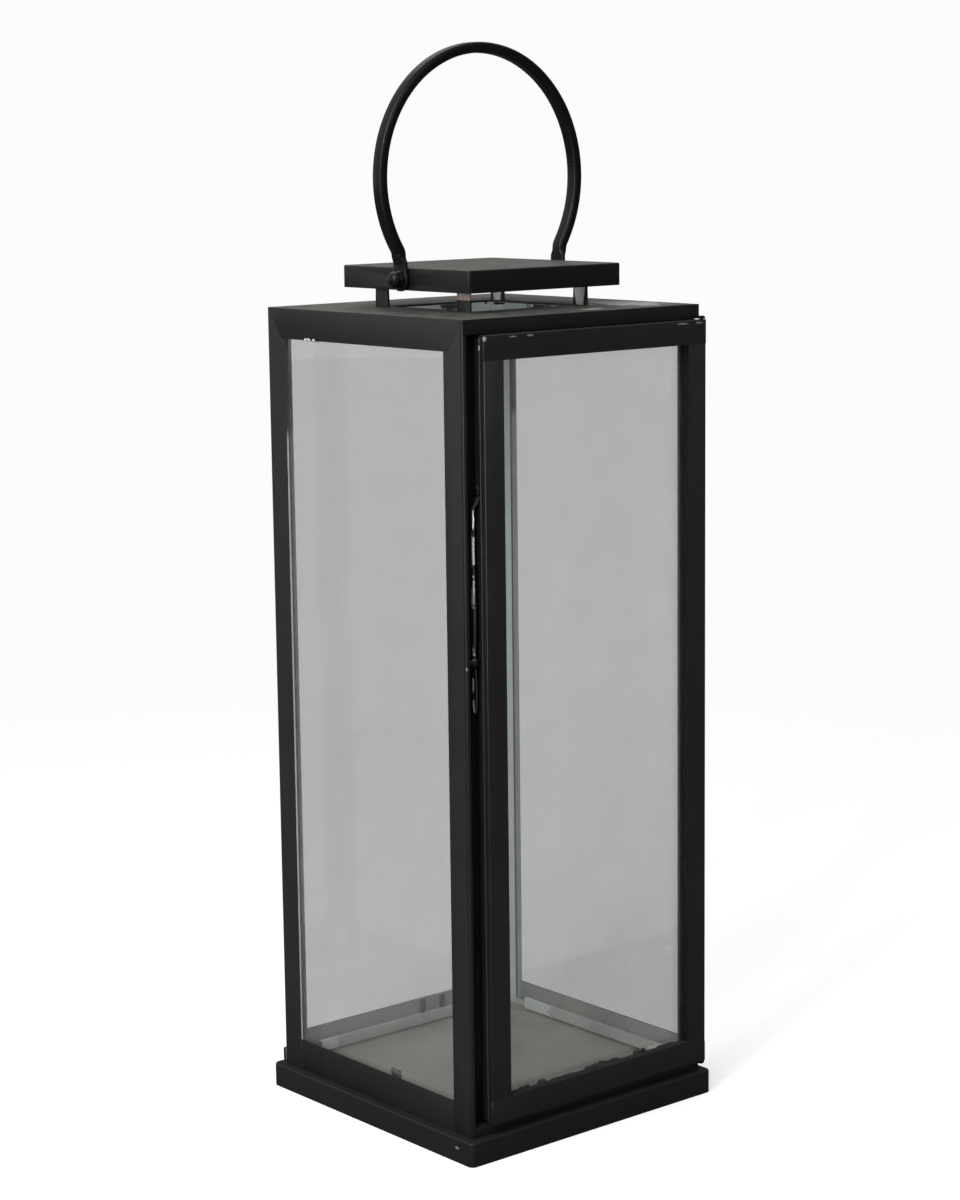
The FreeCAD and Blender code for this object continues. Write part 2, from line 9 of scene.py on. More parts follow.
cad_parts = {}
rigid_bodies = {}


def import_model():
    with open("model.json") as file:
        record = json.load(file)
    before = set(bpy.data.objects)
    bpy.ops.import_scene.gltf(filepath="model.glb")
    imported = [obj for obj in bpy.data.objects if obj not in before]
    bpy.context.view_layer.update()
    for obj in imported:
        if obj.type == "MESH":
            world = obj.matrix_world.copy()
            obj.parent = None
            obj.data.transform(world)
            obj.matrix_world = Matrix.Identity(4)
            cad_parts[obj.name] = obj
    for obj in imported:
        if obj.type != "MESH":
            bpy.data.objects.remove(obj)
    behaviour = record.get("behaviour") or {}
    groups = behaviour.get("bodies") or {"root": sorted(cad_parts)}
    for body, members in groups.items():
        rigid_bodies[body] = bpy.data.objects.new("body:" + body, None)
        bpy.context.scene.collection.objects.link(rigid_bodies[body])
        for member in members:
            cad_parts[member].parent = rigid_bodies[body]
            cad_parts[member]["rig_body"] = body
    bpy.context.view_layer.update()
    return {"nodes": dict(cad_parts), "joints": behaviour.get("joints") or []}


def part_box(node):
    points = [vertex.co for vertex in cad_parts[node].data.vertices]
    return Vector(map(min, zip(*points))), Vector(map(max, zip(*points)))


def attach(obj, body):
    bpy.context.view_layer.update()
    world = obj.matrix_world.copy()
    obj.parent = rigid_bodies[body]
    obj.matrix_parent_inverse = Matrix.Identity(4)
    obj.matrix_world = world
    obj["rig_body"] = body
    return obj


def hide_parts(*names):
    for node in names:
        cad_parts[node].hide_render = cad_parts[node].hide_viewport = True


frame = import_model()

# Candle lantern. Metres, +Z up, the door on the -Y side. Pieces take their places from the CAD nodes' boxes.
# Marks in the paint and beads of sealant are placed in the same frame.

MM = 0.001

# Sockets of a Mix node for colours, and of one for plain numbers.
MIX_FIRST = 6
MIX_SECOND = 7
MIX_RESULT = 2
PLAIN_FACTOR = 0
PLAIN_FIRST = 2
PLAIN_SECOND = 3
PLAIN_RESULT = 0


def shape(node):
    """Low and high corner and size of a CAD node."""
    low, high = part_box(node)
    return low, high, high - low


# ---- places read from the frame ----
PLINTH_LOW, PLINTH_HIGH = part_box("base_plinth")
DOOR_LOW, DOOR_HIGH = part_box("door_bottom_rail")
DOOR_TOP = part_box("door_top_rail")[1].z
DOOR_FRONT = DOOR_LOW.y
WINDOW_LOW = DOOR_HIGH.z
PLATE_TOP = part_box("top_plate")[1].z
STOP_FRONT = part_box("front_right_post")[0].y
POST_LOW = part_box("front_left_post")[0]
LEFT_RAIL_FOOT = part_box("left_top_rail")[0].z
JOINTS = {joint["name"]: Vector(joint["pos_m"]) for joint in frame["joints"]}
PIVOT = JOINTS["handle_pivot"].z


# ---- procedural materials ----
# A patch's edge: how far noise moves it, and the distances at which the patch ends and is whole.
SPOT_RAGGED = 1.6
SPOT_OUTSIDE = 1.85
SPOT_INSIDE = 1.6
# Most of a noise texture's values lie in this span.
NOISE_SPAN = (0.3, 0.7)


class Finish:
    """A material whose nodes read the piece's own coordinates, which at rest are the frame's."""

    def __init__(self, name):
        self.material = bpy.data.materials.new(name)
        self.material.use_nodes = True
        self.tree = self.material.node_tree
        self.shader = self.tree.nodes["Principled BSDF"]
        self.output = self.tree.nodes["Material Output"]
        coordinates = self.add("ShaderNodeTexCoord")
        self.place = coordinates.outputs["Object"]
        self.facing = coordinates.outputs["Normal"]

    def add(self, kind, **settings):
        node = self.tree.nodes.new(kind)
        for name, value in settings.items():
            setattr(node, name, value)
        return node

    def feed(self, socket, value):
        """Link a node's output to a socket, or set the socket to a plain value."""
        if isinstance(value, bpy.types.NodeSocket):
            self.tree.links.new(value, socket)
        else:
            socket.default_value = value

    def set(self, name, value):
        self.feed(self.shader.inputs[name], value)

    def math(self, operation, first, second=0.0):
        node = self.add("ShaderNodeMath", operation=operation)
        self.feed(node.inputs[0], first)
        self.feed(node.inputs[1], second)
        return node.outputs[0]

    def times(self, first, second):
        return self.math("MULTIPLY", first, second)

    def part(self, vector, axis):
        return self.split(vector).outputs["XYZ".index(axis)]

    def split(self, vector):
        node = self.add("ShaderNodeSeparateXYZ")
        self.feed(node.inputs[0], vector)
        return node

    def stretched(self, factors):
        node = self.add("ShaderNodeVectorMath", operation="MULTIPLY")
        self.feed(node.inputs[0], self.place)
        node.inputs[1].default_value = factors
        return node.outputs[0]

    def noise(self, per_metre, detail, stretch=None):
        node = self.add("ShaderNodeTexNoise")
        self.feed(node.inputs["Vector"], self.stretched(stretch) if stretch else self.place)
        node.inputs["Scale"].default_value = per_metre
        node.inputs["Detail"].default_value = detail
        return node.outputs["Fac"]

    def drift(self, per_metre, detail, low=0.0, high=1.0):
        """A number that drifts between low and high over the surface."""
        return self.remap(self.noise(per_metre, detail), *NOISE_SPAN, low, high)

    def cells(self, per_metre):
        node = self.add("ShaderNodeTexVoronoi")
        self.feed(node.inputs["Vector"], self.place)
        node.inputs["Scale"].default_value = per_metre
        return node.outputs["Color"]

    def remap(self, value, low, high, to_low=0.0, to_high=1.0):
        node = self.add("ShaderNodeMapRange")
        self.feed(node.inputs["Value"], value)
        node.inputs["From Min"].default_value = low
        node.inputs["From Max"].default_value = high
        node.inputs["To Min"].default_value = to_low
        node.inputs["To Max"].default_value = to_high
        return node.outputs["Result"]

    def mix(self, factor, first, second):
        node = self.add("ShaderNodeMix", data_type="RGBA")
        self.feed(node.inputs["Factor"], factor)
        self.feed(node.inputs[MIX_FIRST], first)
        self.feed(node.inputs[MIX_SECOND], second)
        return node.outputs[MIX_RESULT]

    def bump(self, height, depth, below=None):
        node = self.add("ShaderNodeBump")
        node.inputs["Strength"].default_value = 1.0
        node.inputs["Distance"].default_value = depth
        self.feed(node.inputs["Height"], height)
        if below is not None:
            self.feed(node.inputs["Normal"], below)
        return node.outputs["Normal"]

    def spot(self, centre, reach, ragged):
        """1 inside a ragged patch round centre, whose half sizes are reach, and 0 outside it."""
        away = self.add("ShaderNodeVectorMath", operation="SUBTRACT")
        self.feed(away.inputs[0], self.place)
        away.inputs[1].default_value = centre
        scaled = self.add("ShaderNodeVectorMath", operation="DIVIDE")
        self.feed(scaled.inputs[0], away.outputs[0])
        scaled.inputs[1].default_value = reach
        length = self.add("ShaderNodeVectorMath", operation="LENGTH")
        self.feed(length.inputs[0], scaled.outputs[0])
        edge = self.math("ADD", length.outputs["Value"], self.times(ragged, SPOT_RAGGED))
        return self.remap(edge, SPOT_OUTSIDE, SPOT_INSIDE)

    def spots(self, places, grain):
        """The greatest of several ragged patches."""
        ragged = self.noise(grain, detail=2.0)
        total = None
        for centre, reach in places:
            one = self.spot(centre, reach, ragged)
            total = one if total is None else self.math("MAXIMUM", total, one)
        return total


def rgb(red, green, blue):
    return (red, green, blue, 1.0)


# Colours are linear.
SATIN_BLACK = rgb(0.0125, 0.0125, 0.0135)
SATIN_WORN = rgb(0.023, 0.022, 0.021)
SATIN_ROUGHNESS = 0.36
GLOSS_BLACK = rgb(0.005, 0.005, 0.0055)
GLOSS_WORN = rgb(0.011, 0.0105, 0.010)
# Matt near-black for the hinge stile's left side and the hinge: painted shade.
SHADE_FLAT_DARK = rgb(0.004, 0.004, 0.004)
SHADE_FLAT_LIGHT = rgb(0.009, 0.009, 0.0085)
# Lighter black for the door's hem: a painted highlight.
HEM_HIGHLIGHT_DARK = rgb(0.028, 0.028, 0.030)
HEM_HIGHLIGHT_WORN = rgb(0.040, 0.039, 0.037)
LEDGE_DUST = rgb(0.140, 0.133, 0.117)
CAP_DUST = rgb(0.172, 0.164, 0.144)
# The top plate's painted reflection: a slightly lighter black round the glare, and the pale glare itself.
GLARE_RIM_BLACK = rgb(0.02, 0.02, 0.02)
GLARE_GREY = rgb(0.52, 0.51, 0.48)
FILLER_WHITE = rgb(0.85, 0.85, 0.82)
OLD_CHIP = rgb(0.21, 0.21, 0.20)
# Bright metal of fresh chips, also the colour of two painted glints.
FRESH_CHIP_AND_GLINT = rgb(0.36, 0.36, 0.35)
PRIMER_DARK = rgb(0.50, 0.36, 0.30)
PRIMER_LIGHT = rgb(0.66, 0.53, 0.45)
LEG_METAL_DARK = rgb(0.66, 0.67, 0.66)
LEG_METAL_LIGHT = rgb(0.84, 0.85, 0.84)
SPRAY_BLACK = rgb(0.014, 0.014, 0.014)
THIN_BLACK = rgb(0.05, 0.05, 0.05)
CLEAN_ZINC = rgb(0.66, 0.69, 0.68)
FLOOR_DARK = rgb(0.238, 0.226, 0.207)
FLOOR_LIGHT = rgb(0.317, 0.305, 0.286)
FLOOR_SPECK = rgb(0.17, 0.155, 0.13)
SPRING_BLACK = rgb(0.030, 0.029, 0.027)
# Near-white rubbed steel, also painted glints.
SPRING_RUBBED_GLINT = rgb(0.94, 0.92, 0.89)
SEALANT_DARK = rgb(0.008, 0.008, 0.008)
SEALANT_LIGHT = rgb(0.022, 0.021, 0.020)
LAMPLIGHT_THROUGH = rgb(0.93, 0.94, 0.93)
FILM_DUST = rgb(0.62, 0.62, 0.60)
PANE_TINT = rgb(0.712, 0.719, 0.712)
PANE_EDGE_TINT = rgb(0.55, 0.70, 0.67)

# Where a change in the paint starts and ends, in metres up the body. REBATE_DEPTH is along Y.
FOOT_FADE = (0.02, 0.06)
CAP_FADE = (0.5115, 0.5135)
REBATE_DEPTH = (-0.0932, -0.0925)
ABOVE_DOOR = (0.4931, 0.4934)
BELOW_PLATE = (0.4960, 0.4955)
AT_PLATE = (0.4955, 0.4960)
ABOVE_PLATE = (0.51, 0.52)
SPRAY_START = (0.420, 0.428)
SPRAY_END = (0.4835, 0.4828)

# How far out the legs' middles are, and where the openings' upright sides are.
LEG_MIDDLE_Y = 0.039
OPENING_SIDE = (80.8 * MM, 80.0 * MM)


def patch(centre, half_sizes):
    """A place for Finish.spots: its centre in metres and its half sizes in millimetres."""
    return Vector(centre), tuple(half * MM for half in half_sizes)


def chips_and_glints():
    """Where the black paint has chipped to bright metal at the door's top, and two painted glints: on the
    door's left side and on the near post's corner edge.
    """
    return [
        patch((-0.0817, DOOR_FRONT, DOOR_TOP - 1.8 * MM), (1.1, 2.0, 1.4)),
        # A painted glint on the door's left side, below its top.
        patch((DOOR_LOW.x, DOOR_FRONT + 4.2 * MM, DOOR_TOP - 7 * MM), (0.7, 0.7, 1.6)),
        # A painted glint on the near post's corner edge.
        patch((POST_LOW.x, POST_LOW.y, 300.5 * MM), (0.8, 0.8, 0.8)),
    ]


def old_chips():
    """Older, duller chips along the door's rim and on the plinth."""
    rim = DOOR_TOP - 1.6 * MM
    front = DOOR_FRONT
    return [
        patch((-0.0604, front, rim), (3.0, 2.0, 0.5)),
        patch((-0.0474, front, rim), (2.8, 2.0, 0.6)),
        patch((0.0753, front, rim), (4.8, 2.0, 0.6)),
        patch((0.0893, front, rim), (3.0, 2.0, 0.6)),
        patch((0.0798, front, DOOR_TOP - 45 * MM), (0.5, 1.5, 4.0)),
        patch((PLINTH_LOW.x, -0.0862, 9.4 * MM), (1.2, 2.2, 0.9)),
    ]


def sheen(finish):
    """How strongly the paint shines: less near the foot and on the cap, and less on forward-facing faces deep
    in the door's rebate and above the door, which is painted shade.
    """
    place = finish.split(finish.place)
    foot = finish.remap(place.outputs["Z"], *FOOT_FADE, 0.50, 1.0)
    crown = finish.remap(place.outputs["Z"], *CAP_FADE, 1.0, 0.56)
    forward = finish.remap(finish.part(finish.facing, "Y"), -0.6, -0.9)
    deep = finish.remap(place.outputs["Y"], *REBATE_DEPTH)
    above = finish.remap(place.outputs["Z"], *ABOVE_DOOR)
    # Forward-facing faces in the rebate and above the door reflect less: painted shade.
    shaded = finish.times(forward, finish.math("MAXIMUM", deep, above))
    level = finish.times(finish.times(foot, crown), 0.5)
    return finish.times(level, finish.remap(shaded, 0.0, 1.0, 1.0, 0.3))


def white_crumbs():
    """Crumbs of white filler along the lower edge of the left top rail."""
    edge = LEFT_RAIL_FOOT + 0.5 * MM
    return [patch((POST_LOW.x, y * MM, edge), (1.5, half, 0.9))
            for y, half in ((55.5, 1.0), (52.0, 1.8), (47.0, 1.3))]


def smooth_paint(finish, dark, worn, gloss):
    """Black paint with faint grime, dust on the upper faces, chips down to the metal, two painted glints and
    crumbs of filler.
    """
    cloud = finish.noise(16.0, detail=5.0)
    smear = finish.noise(60.0, detail=4.0, stretch=(1.0, 1.0, 0.16))
    grime = finish.times(finish.remap(cloud, 0.45, 0.75), finish.remap(smear, 0.35, 0.8))
    paint = finish.mix(grime, dark, worn)
    up = finish.remap(finish.part(finish.facing, "Z"), 0.7, 0.95)
    height = finish.part(finish.place, "Z")
    ledge = finish.times(up, finish.remap(height, *BELOW_PLATE))
    up = finish.times(up, finish.remap(height, *AT_PLATE))
    settled = finish.times(up, finish.remap(finish.noise(90.0, detail=6.0), 0.25, 0.75, 0.25, 1.0))
    dust = finish.mix(finish.remap(height, *ABOVE_PLATE), LEDGE_DUST, CAP_DUST)
    dusty = finish.mix(settled, paint, dust)
    # Fresh chips and two painted glints.
    fresh_and_glints = finish.spots(chips_and_glints(), 900.0)
    old = finish.spots(old_chips(), 900.0)
    chips = finish.math("MAXIMUM", fresh_and_glints, old)
    rough = finish.drift(34.0, 4.0, gloss, gloss + 0.10)
    rough = finish.math("ADD", rough, finish.times(settled, 0.12))
    rough = finish.math("MAXIMUM", rough, finish.times(ledge, 0.85))
    finish.set("Roughness", finish.math("MAXIMUM", rough, finish.times(chips, 0.7)))
    skin = finish.bump(finish.noise(520.0, detail=2.0), 0.035 * MM)
    sway = finish.bump(finish.noise(11.0, detail=1.0), 1.2 * MM, skin)
    finish.set("Normal", finish.bump(chips, -0.08 * MM, sway))
    finish.set("Specular IOR Level", sheen(finish))
    crumbs = finish.spots(white_crumbs(), 900.0)
    dusty = finish.mix(crumbs, dusty, FILLER_WHITE)
    chipped = finish.mix(old, dusty, OLD_CHIP)
    return finish.mix(fresh_and_glints, chipped, FRESH_CHIP_AND_GLINT)


def satin_paint(finish):
    """The paint that most of the lantern has."""
    return smooth_paint(finish, SATIN_BLACK, SATIN_WORN, SATIN_ROUGHNESS)


def black_paint():
    finish = Finish("black_satin_paint")
    finish.set("Base Color", satin_paint(finish))
    return finish.material


def plate_paint_glare():
    """The top plate's paint, with a pale painted reflection towards its right front corner and slightly
    lighter patches round it.
    """
    finish = Finish("plate_painted_glare")
    paint = satin_paint(finish)
    # A pale glare painted on the plate: painted reflection.
    glare_patches = [
        patch((0.071, -0.056, PLATE_TOP), (18, 27, 4)),
        patch((0.046, -0.046, PLATE_TOP), (5, 7, 4)),
        patch((0.021, -0.078, PLATE_TOP), (9, 4, 4)),
    ]
    glare_rim_patches = [
        patch((0.040, -0.068, PLATE_TOP), (9, 15, 4)),
        patch((0.078, -0.088, PLATE_TOP), (16, 5, 4)),
    ]
    # Slightly lighter patches round the glare, part of the same painted reflection.
    glare_rim_mask = finish.times(finish.spots(glare_rim_patches, 90.0), 0.5)
    paint = finish.mix(glare_rim_mask, paint, GLARE_RIM_BLACK)
    glare_mask = finish.times(finish.spots(glare_patches, 110.0), 0.9)
    finish.set("Base Color", finish.mix(glare_mask, paint, GLARE_GREY))
    return finish.material


def glossy_paint():
    """Thick glossy black on the handle, the bolts and the catch's knob."""
    finish = Finish("black_gloss_paint")
    finish.set("Base Color", smooth_paint(finish, GLOSS_BLACK, GLOSS_WORN, 0.22))
    finish.set("Specular IOR Level", finish.drift(30.0, 2.0, 0.20, 0.25))
    return finish.material


def flat_black_painted_shade():
    """Matt near-black as painted shade: on the left side of the door's hinge stile, and on the hinge's ears
    and pins.
    """
    finish = Finish("flat_black_painted_shade")
    finish.set("Base Color", finish.mix(finish.noise(60.0, detail=4.0), SHADE_FLAT_DARK, SHADE_FLAT_LIGHT))
    finish.set("Roughness", finish.drift(200.0, 3.0, 0.55, 0.7))
    finish.set("Specular IOR Level", 0.15)
    return finish.material


def hem_painted_highlight():
    """Paint on the door's rolled hem, lighter than the rest: a painted highlight along the hem."""
    finish = Finish("hem_painted_highlight")
    finish.set("Base Color", smooth_paint(finish, HEM_HIGHLIGHT_DARK, HEM_HIGHLIGHT_WORN, 0.30))
    return finish.material


def leg_paint():
    """Black paint that missed the upper outer side of the near leg and left its primer."""
    finish = Finish("leg_paint")
    paint = satin_paint(finish)
    high = finish.remap(finish.part(finish.place, "Z"), PLATE_TOP + 6.6 * MM, PLATE_TOP + 7.4 * MM)
    near = finish.remap(finish.part(finish.place, "X"), 0.0, -0.01)
    front = finish.remap(finish.part(finish.place, "Y"), 0.0, -0.01)
    missed = finish.times(finish.times(near, front), high)
    cloud = finish.noise(420.0, detail=4.0)
    pink = finish.mix(finish.remap(cloud, 0.35, 0.65), PRIMER_DARK, PRIMER_LIGHT)
    finish.set("Base Color", finish.mix(missed, paint, pink))
    return finish.material


def leg_inside():
    """Bare strip in the middle of a leg's inner side, with black spray along both edges."""
    finish = Finish("leg_bare_side")
    place = finish.split(finish.place)
    outward = finish.math("ABSOLUTE", place.outputs["Y"])
    along = finish.math("ABSOLUTE", finish.math("SUBTRACT", outward, LEG_MIDDLE_Y))
    height = finish.remap(place.outputs["Z"], PLATE_TOP, PLATE_TOP + 12 * MM, 3.4 * MM, 5.6 * MM)
    ragged = finish.times(finish.noise(700.0, detail=3.0), 0.8 * MM)
    over = finish.math("SUBTRACT", finish.math("ADD", along, ragged), height)
    painted = finish.remap(over, -0.3 * MM, 0.5 * MM)
    metal = finish.mix(finish.drift(160.0, 3.0), LEG_METAL_DARK, LEG_METAL_LIGHT)
    finish.set("Base Color", finish.mix(painted, metal, SPRAY_BLACK))
    finish.set("Metallic", finish.math("SUBTRACT", 0.45, finish.times(painted, 0.45)))
    finish.set("Roughness", finish.drift(300.0, 3.0, 0.30, 0.42))
    finish.set("Normal", finish.bump(finish.noise(400.0, detail=2.0), 0.03 * MM))
    return finish.material


def overspray_and_dark_patches(finish):
    """1 where black spray reached the inner faces beside the openings' upper ends, and in two dark patches on
    the inner faces of two top rails.
    """
    place = finish.split(finish.place)
    x = finish.math("ABSOLUTE", place.outputs["X"])
    y = finish.math("ABSOLUTE", place.outputs["Y"])
    along = finish.math("MINIMUM", x, y)
    ragged = finish.times(finish.math("SUBTRACT", finish.noise(240.0, detail=4.0), 0.5), 3.0 * MM)
    edge = finish.remap(finish.math("ADD", along, ragged), *OPENING_SIDE)
    high = finish.remap(finish.math("ADD", place.outputs["Z"], ragged), *SPRAY_START)
    high = finish.times(high, finish.remap(place.outputs["Z"], *SPRAY_END))
    # Two dark patches on the inner faces of the rear and right top rails.
    rails = [
        patch((0.051, 0.0928, 0.4955), (7, 3, 3.2)),
        patch((0.0928, 0.052, 0.4950), (3, 11, 3.6)),
    ]
    return finish.math("MAXIMUM", finish.times(edge, high), finish.spots(rails, 300.0))


def bare_zinc(name, tint, dark, rough, shine, patches=(), darkened=False):
    """Galvanised sheet: spangled grey with white rust clouds, and brighter in its unrusted patches."""
    finish = Finish(name)
    spangle = finish.part(finish.cells(170.0), "X")
    cloud = finish.noise(28.0, detail=6.0)
    metal = finish.mix(finish.remap(spangle, 0.0, 1.0, 0.25, 0.6), dark, tint)
    clouded = finish.mix(finish.remap(cloud, 0.48, 0.72, 0.0, 0.5), metal, tint)
    if patches:
        clouded = finish.mix(finish.spots(patches, 300.0), clouded, CLEAN_ZINC)
    metallic = finish.remap(cloud, 0.45, 0.75, shine, 0.6 * shine)
    if darkened:
        black = overspray_and_dark_patches(finish)
        clouded = finish.mix(black, clouded, THIN_BLACK)
        metallic = finish.times(metallic, finish.math("SUBTRACT", 1.0, black))
    finish.set("Base Color", clouded)
    finish.set("Metallic", metallic)
    uneven = finish.math("ADD", finish.noise(75.0, detail=4.0), finish.times(spangle, 0.35))
    finish.set("Roughness", finish.remap(uneven, 0.2, 1.0, rough - 0.08, rough + 0.14))
    finish.set("Normal", finish.bump(finish.noise(260.0, detail=3.0), 0.05 * MM))
    return finish.material


def dusty_floor():
    """The floor plate: dull clouded metal under dust and dark specks."""
    finish = Finish("dusty_galvanised_floor")
    cloud = finish.noise(22.0, detail=6.0)
    fine = finish.noise(240.0, detail=4.0)
    metal = finish.mix(finish.remap(cloud, 0.35, 0.7), FLOOR_DARK, FLOOR_LIGHT)
    speck = finish.remap(fine, 0.66, 0.74, 0.0, 0.5)
    finish.set("Base Color", finish.mix(speck, metal, FLOOR_SPECK))
    finish.set("Metallic", finish.remap(cloud, 0.3, 0.7, 0.35, 0.15))
    finish.set("Roughness", finish.remap(fine, 0.2, 0.8, 0.42, 0.62))
    finish.set("Normal", finish.bump(fine, 0.04 * MM))
    return finish.material


# Height in metres, then in millimetres: distance behind the leaf's middle line, half length and half width.
# The rubbed strokes are rubbed metal and painted glints at once.
RUBBED_GLINT_STROKES = (
    (0.3870, -0.9, 7.0, 0.45), (0.3695, 0.0, 9.2, 2.6), (0.3440, -0.7, 10.5, 0.6), (0.3410, 0.6, 6.5, 0.9),
    (0.3075, 0.0, 5.5, 0.8), (0.2775, 0.6, 4.5, 1.2), (0.2900, 1.4, 5.0, 0.6),
)


def spring_steel():
    """Black spring steel, rubbed to bare metal in long strokes along the leaf and in spots on its loop; the
    strokes are painted near white and stand as painted glints too.
    """
    finish = Finish("worn_spring_steel_glints")
    low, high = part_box("catch_spring")
    middle = (low.y + high.y) / 2
    places = []
    for z, aside, half_long, half_wide in RUBBED_GLINT_STROKES:
        places.append(patch((low.x, middle + aside * MM, z), (6, half_wide, half_long)))
    bare = finish.spots(places, 500.0)
    finish.set("Base Color", finish.mix(bare, SPRING_BLACK, SPRING_RUBBED_GLINT))
    finish.set("Metallic", finish.remap(bare, 0.0, 1.0, 0.0, 0.35))
    finish.set("Specular IOR Level", finish.remap(bare, 0.0, 1.0, 0.25, 0.5))
    rough = finish.drift(420.0, 3.0, 0.20, 0.34)
    finish.set("Roughness", finish.math("ADD", rough, finish.remap(bare, 0.0, 1.0, 0.2, 0.0)))
    finish.set("Normal", finish.bump(finish.noise(900.0, detail=2.0), 0.02 * MM))
    return finish.material


def sealant():
    """Black glazing sealant with a wet sheen."""
    finish = Finish("black_sealant")
    lump = finish.noise(380.0, detail=4.0)
    finish.set("Base Color", finish.mix(finish.remap(lump, 0.35, 0.7), SEALANT_DARK, SEALANT_LIGHT))
    finish.set("Roughness", finish.remap(lump, 0.3, 0.7, 0.28, 0.48))
    finish.set("Normal", finish.bump(lump, 0.12 * MM))
    return finish.material


def glass(name, tint, rough, haze, smears=()):
    """Glass that lets lamps through, under a film of dust and a few smears."""
    finish = Finish(name)
    finish.set("IOR", 1.5)
    finish.set("Transmission Weight", 1.0)
    film = finish.noise(9.0, detail=4.0, stretch=(1.0, 1.0, 0.4))
    finish.set("Base Color", finish.mix(film, tint, rgb(*[0.97 * channel for channel in tint[:3]])))
    finish.set("Roughness", finish.remap(film, 0.35, 0.65, rough, rough + 0.015))
    clear = finish.add("ShaderNodeBsdfTransparent")
    clear.inputs["Color"].default_value = LAMPLIGHT_THROUGH
    path = finish.add("ShaderNodeLightPath")
    body = finish.add("ShaderNodeMixShader")
    lamp = finish.math("MAXIMUM", path.outputs["Is Shadow Ray"], path.outputs["Is Diffuse Ray"])
    finish.feed(body.inputs[0], lamp)
    finish.feed(body.inputs[1], finish.shader.outputs[0])
    finish.feed(body.inputs[2], clear.outputs[0])
    dust = finish.add("ShaderNodeBsdfDiffuse")
    dust.inputs["Color"].default_value = FILM_DUST
    cover = finish.add("ShaderNodeMixShader")
    amount = finish.remap(finish.noise(38.0, detail=6.0), 0.25, 0.75, haze * 0.6, haze * 1.4)
    if smears:
        amount = finish.math("MAXIMUM", amount, finish.times(finish.spots(smears, 420.0), 0.85))
    finish.feed(cover.inputs[0], amount)
    finish.feed(cover.inputs[1], body.outputs[0])
    finish.feed(cover.inputs[2], dust.outputs[0])
    finish.feed(finish.output.inputs["Surface"], cover.outputs[0])
    return finish.material


SMEARS = [patch((-0.0928, 0.0500, 0.4824), (9, 6.5, 1.5))]
RETAINER_ENDS = [
    patch((0.0850, 0.056, 0.0230), (9, 16, 9)),
    patch((0.0850, -0.068, 0.0230), (9, 12, 9)),
    patch((-0.0640, 0.085, 0.0230), (9, 9, 9)),
]
BLACK = black_paint()
PLATE_GLARE_BLACK = plate_paint_glare()
GLOSSY_BLACK = glossy_paint()
SHADE_FLAT_BLACK = flat_black_painted_shade()
HEM_HIGHLIGHT_BLACK = hem_painted_highlight()
LEG_BLACK = leg_paint()
LEG_BARE = leg_inside()
# Galvanised sheet in two copies: bright inside the posts, top rails and plate, which is painted light, and
# darker on the bottom rails, which is painted shade.
LIT_ZINC = bare_zinc("galvanised_post_lit", tint=rgb(0.80, 0.84, 0.825), dark=rgb(0.65, 0.69, 0.68),
                 rough=0.40, shine=0.6, darkened=True)
SHADED_RAIL_ZINC = bare_zinc("galvanised_rail_shaded", tint=rgb(0.52, 0.523, 0.51), dark=rgb(0.385, 0.387, 0.38),
                      rough=0.45, shine=0.3)
STRIP_ZINC = bare_zinc("galvanised_strip", tint=rgb(0.50, 0.50, 0.485), dark=rgb(0.38, 0.38, 0.37),
                       rough=0.42, shine=0.3, patches=RETAINER_ENDS)
FLOOR_ZINC = dusty_floor()
SPRING_STEEL_GLINTS = spring_steel()
SEALANT = sealant()
PANE = glass("smoked_glass", PANE_TINT, rough=0.004, haze=0.03, smears=SMEARS)
PANE_EDGE = glass("ground_glass_edge", PANE_EDGE_TINT, rough=0.35, haze=0.12)


# ---- mesh tools ----
BEVEL_ANGLE = math.radians(35)
FLAT_ANGLE = math.radians(0.4)
SAME_POINT = 0.002 * MM
ON_FOLD = 0.05 * MM
OFF_AXIS = Vector((0.3, 0.2, 1.0))
RIDGE_SIDES = 10
UPRIGHT = 0.3


def finished(name, builder, materials, body, replaced=(), smooth=True, edge=0.0):
    """Turn a bmesh into a piece that rides on a body. edge is the width of its softened edges."""
    mesh = bpy.data.meshes.new(name)
    builder.normal_update()
    builder.to_mesh(mesh)
    builder.free()
    for material in materials:
        mesh.materials.append(material)
    mesh.polygons.foreach_set("use_smooth", [smooth] * len(mesh.polygons))
    piece = bpy.data.objects.new(name, mesh)
    bpy.context.scene.collection.objects.link(piece)
    if edge:
        soft = piece.modifiers.new("soft_edges", "BEVEL")
        soft.width = edge
        soft.segments = 2
        soft.limit_method = "ANGLE"
        soft.angle_limit = BEVEL_ANGLE
        soft.harden_normals = smooth
    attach(piece, body)
    if replaced:
        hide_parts(*replaced)
    return piece


def welded(node):
    """A CAD node's mesh as a bmesh of whole flat faces."""
    builder = bmesh.new()
    builder.from_mesh(frame["nodes"][node].data)
    bmesh.ops.remove_doubles(builder, verts=builder.verts, dist=SAME_POINT)
    bmesh.ops.dissolve_limit(builder, angle_limit=FLAT_ANGLE, verts=builder.verts, edges=builder.edges)
    for face in builder.faces:
        face.material_index = 0
    return builder


def facing_in(face):
    """True for an upright face that looks into the lantern from behind the door's stop."""
    normal = face.normal
    centre = face.calc_center_median()
    if abs(normal.z) > UPRIGHT:
        return False
    along = normal.x * centre.x if abs(normal.x) > abs(normal.y) else normal.y * centre.y
    return along < 0 and centre.y > STOP_FRONT + 0.2 * MM


def body_of(node):
    return frame["nodes"][node]["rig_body"]


def circle(centre, side, other, radius, count):
    """Points round centre in the plane of two directions."""
    points = []
    for k in range(count):
        angle = 2 * math.pi * k / count
        points.append(centre + (side * math.cos(angle) + other * math.sin(angle)) * radius)
    return points


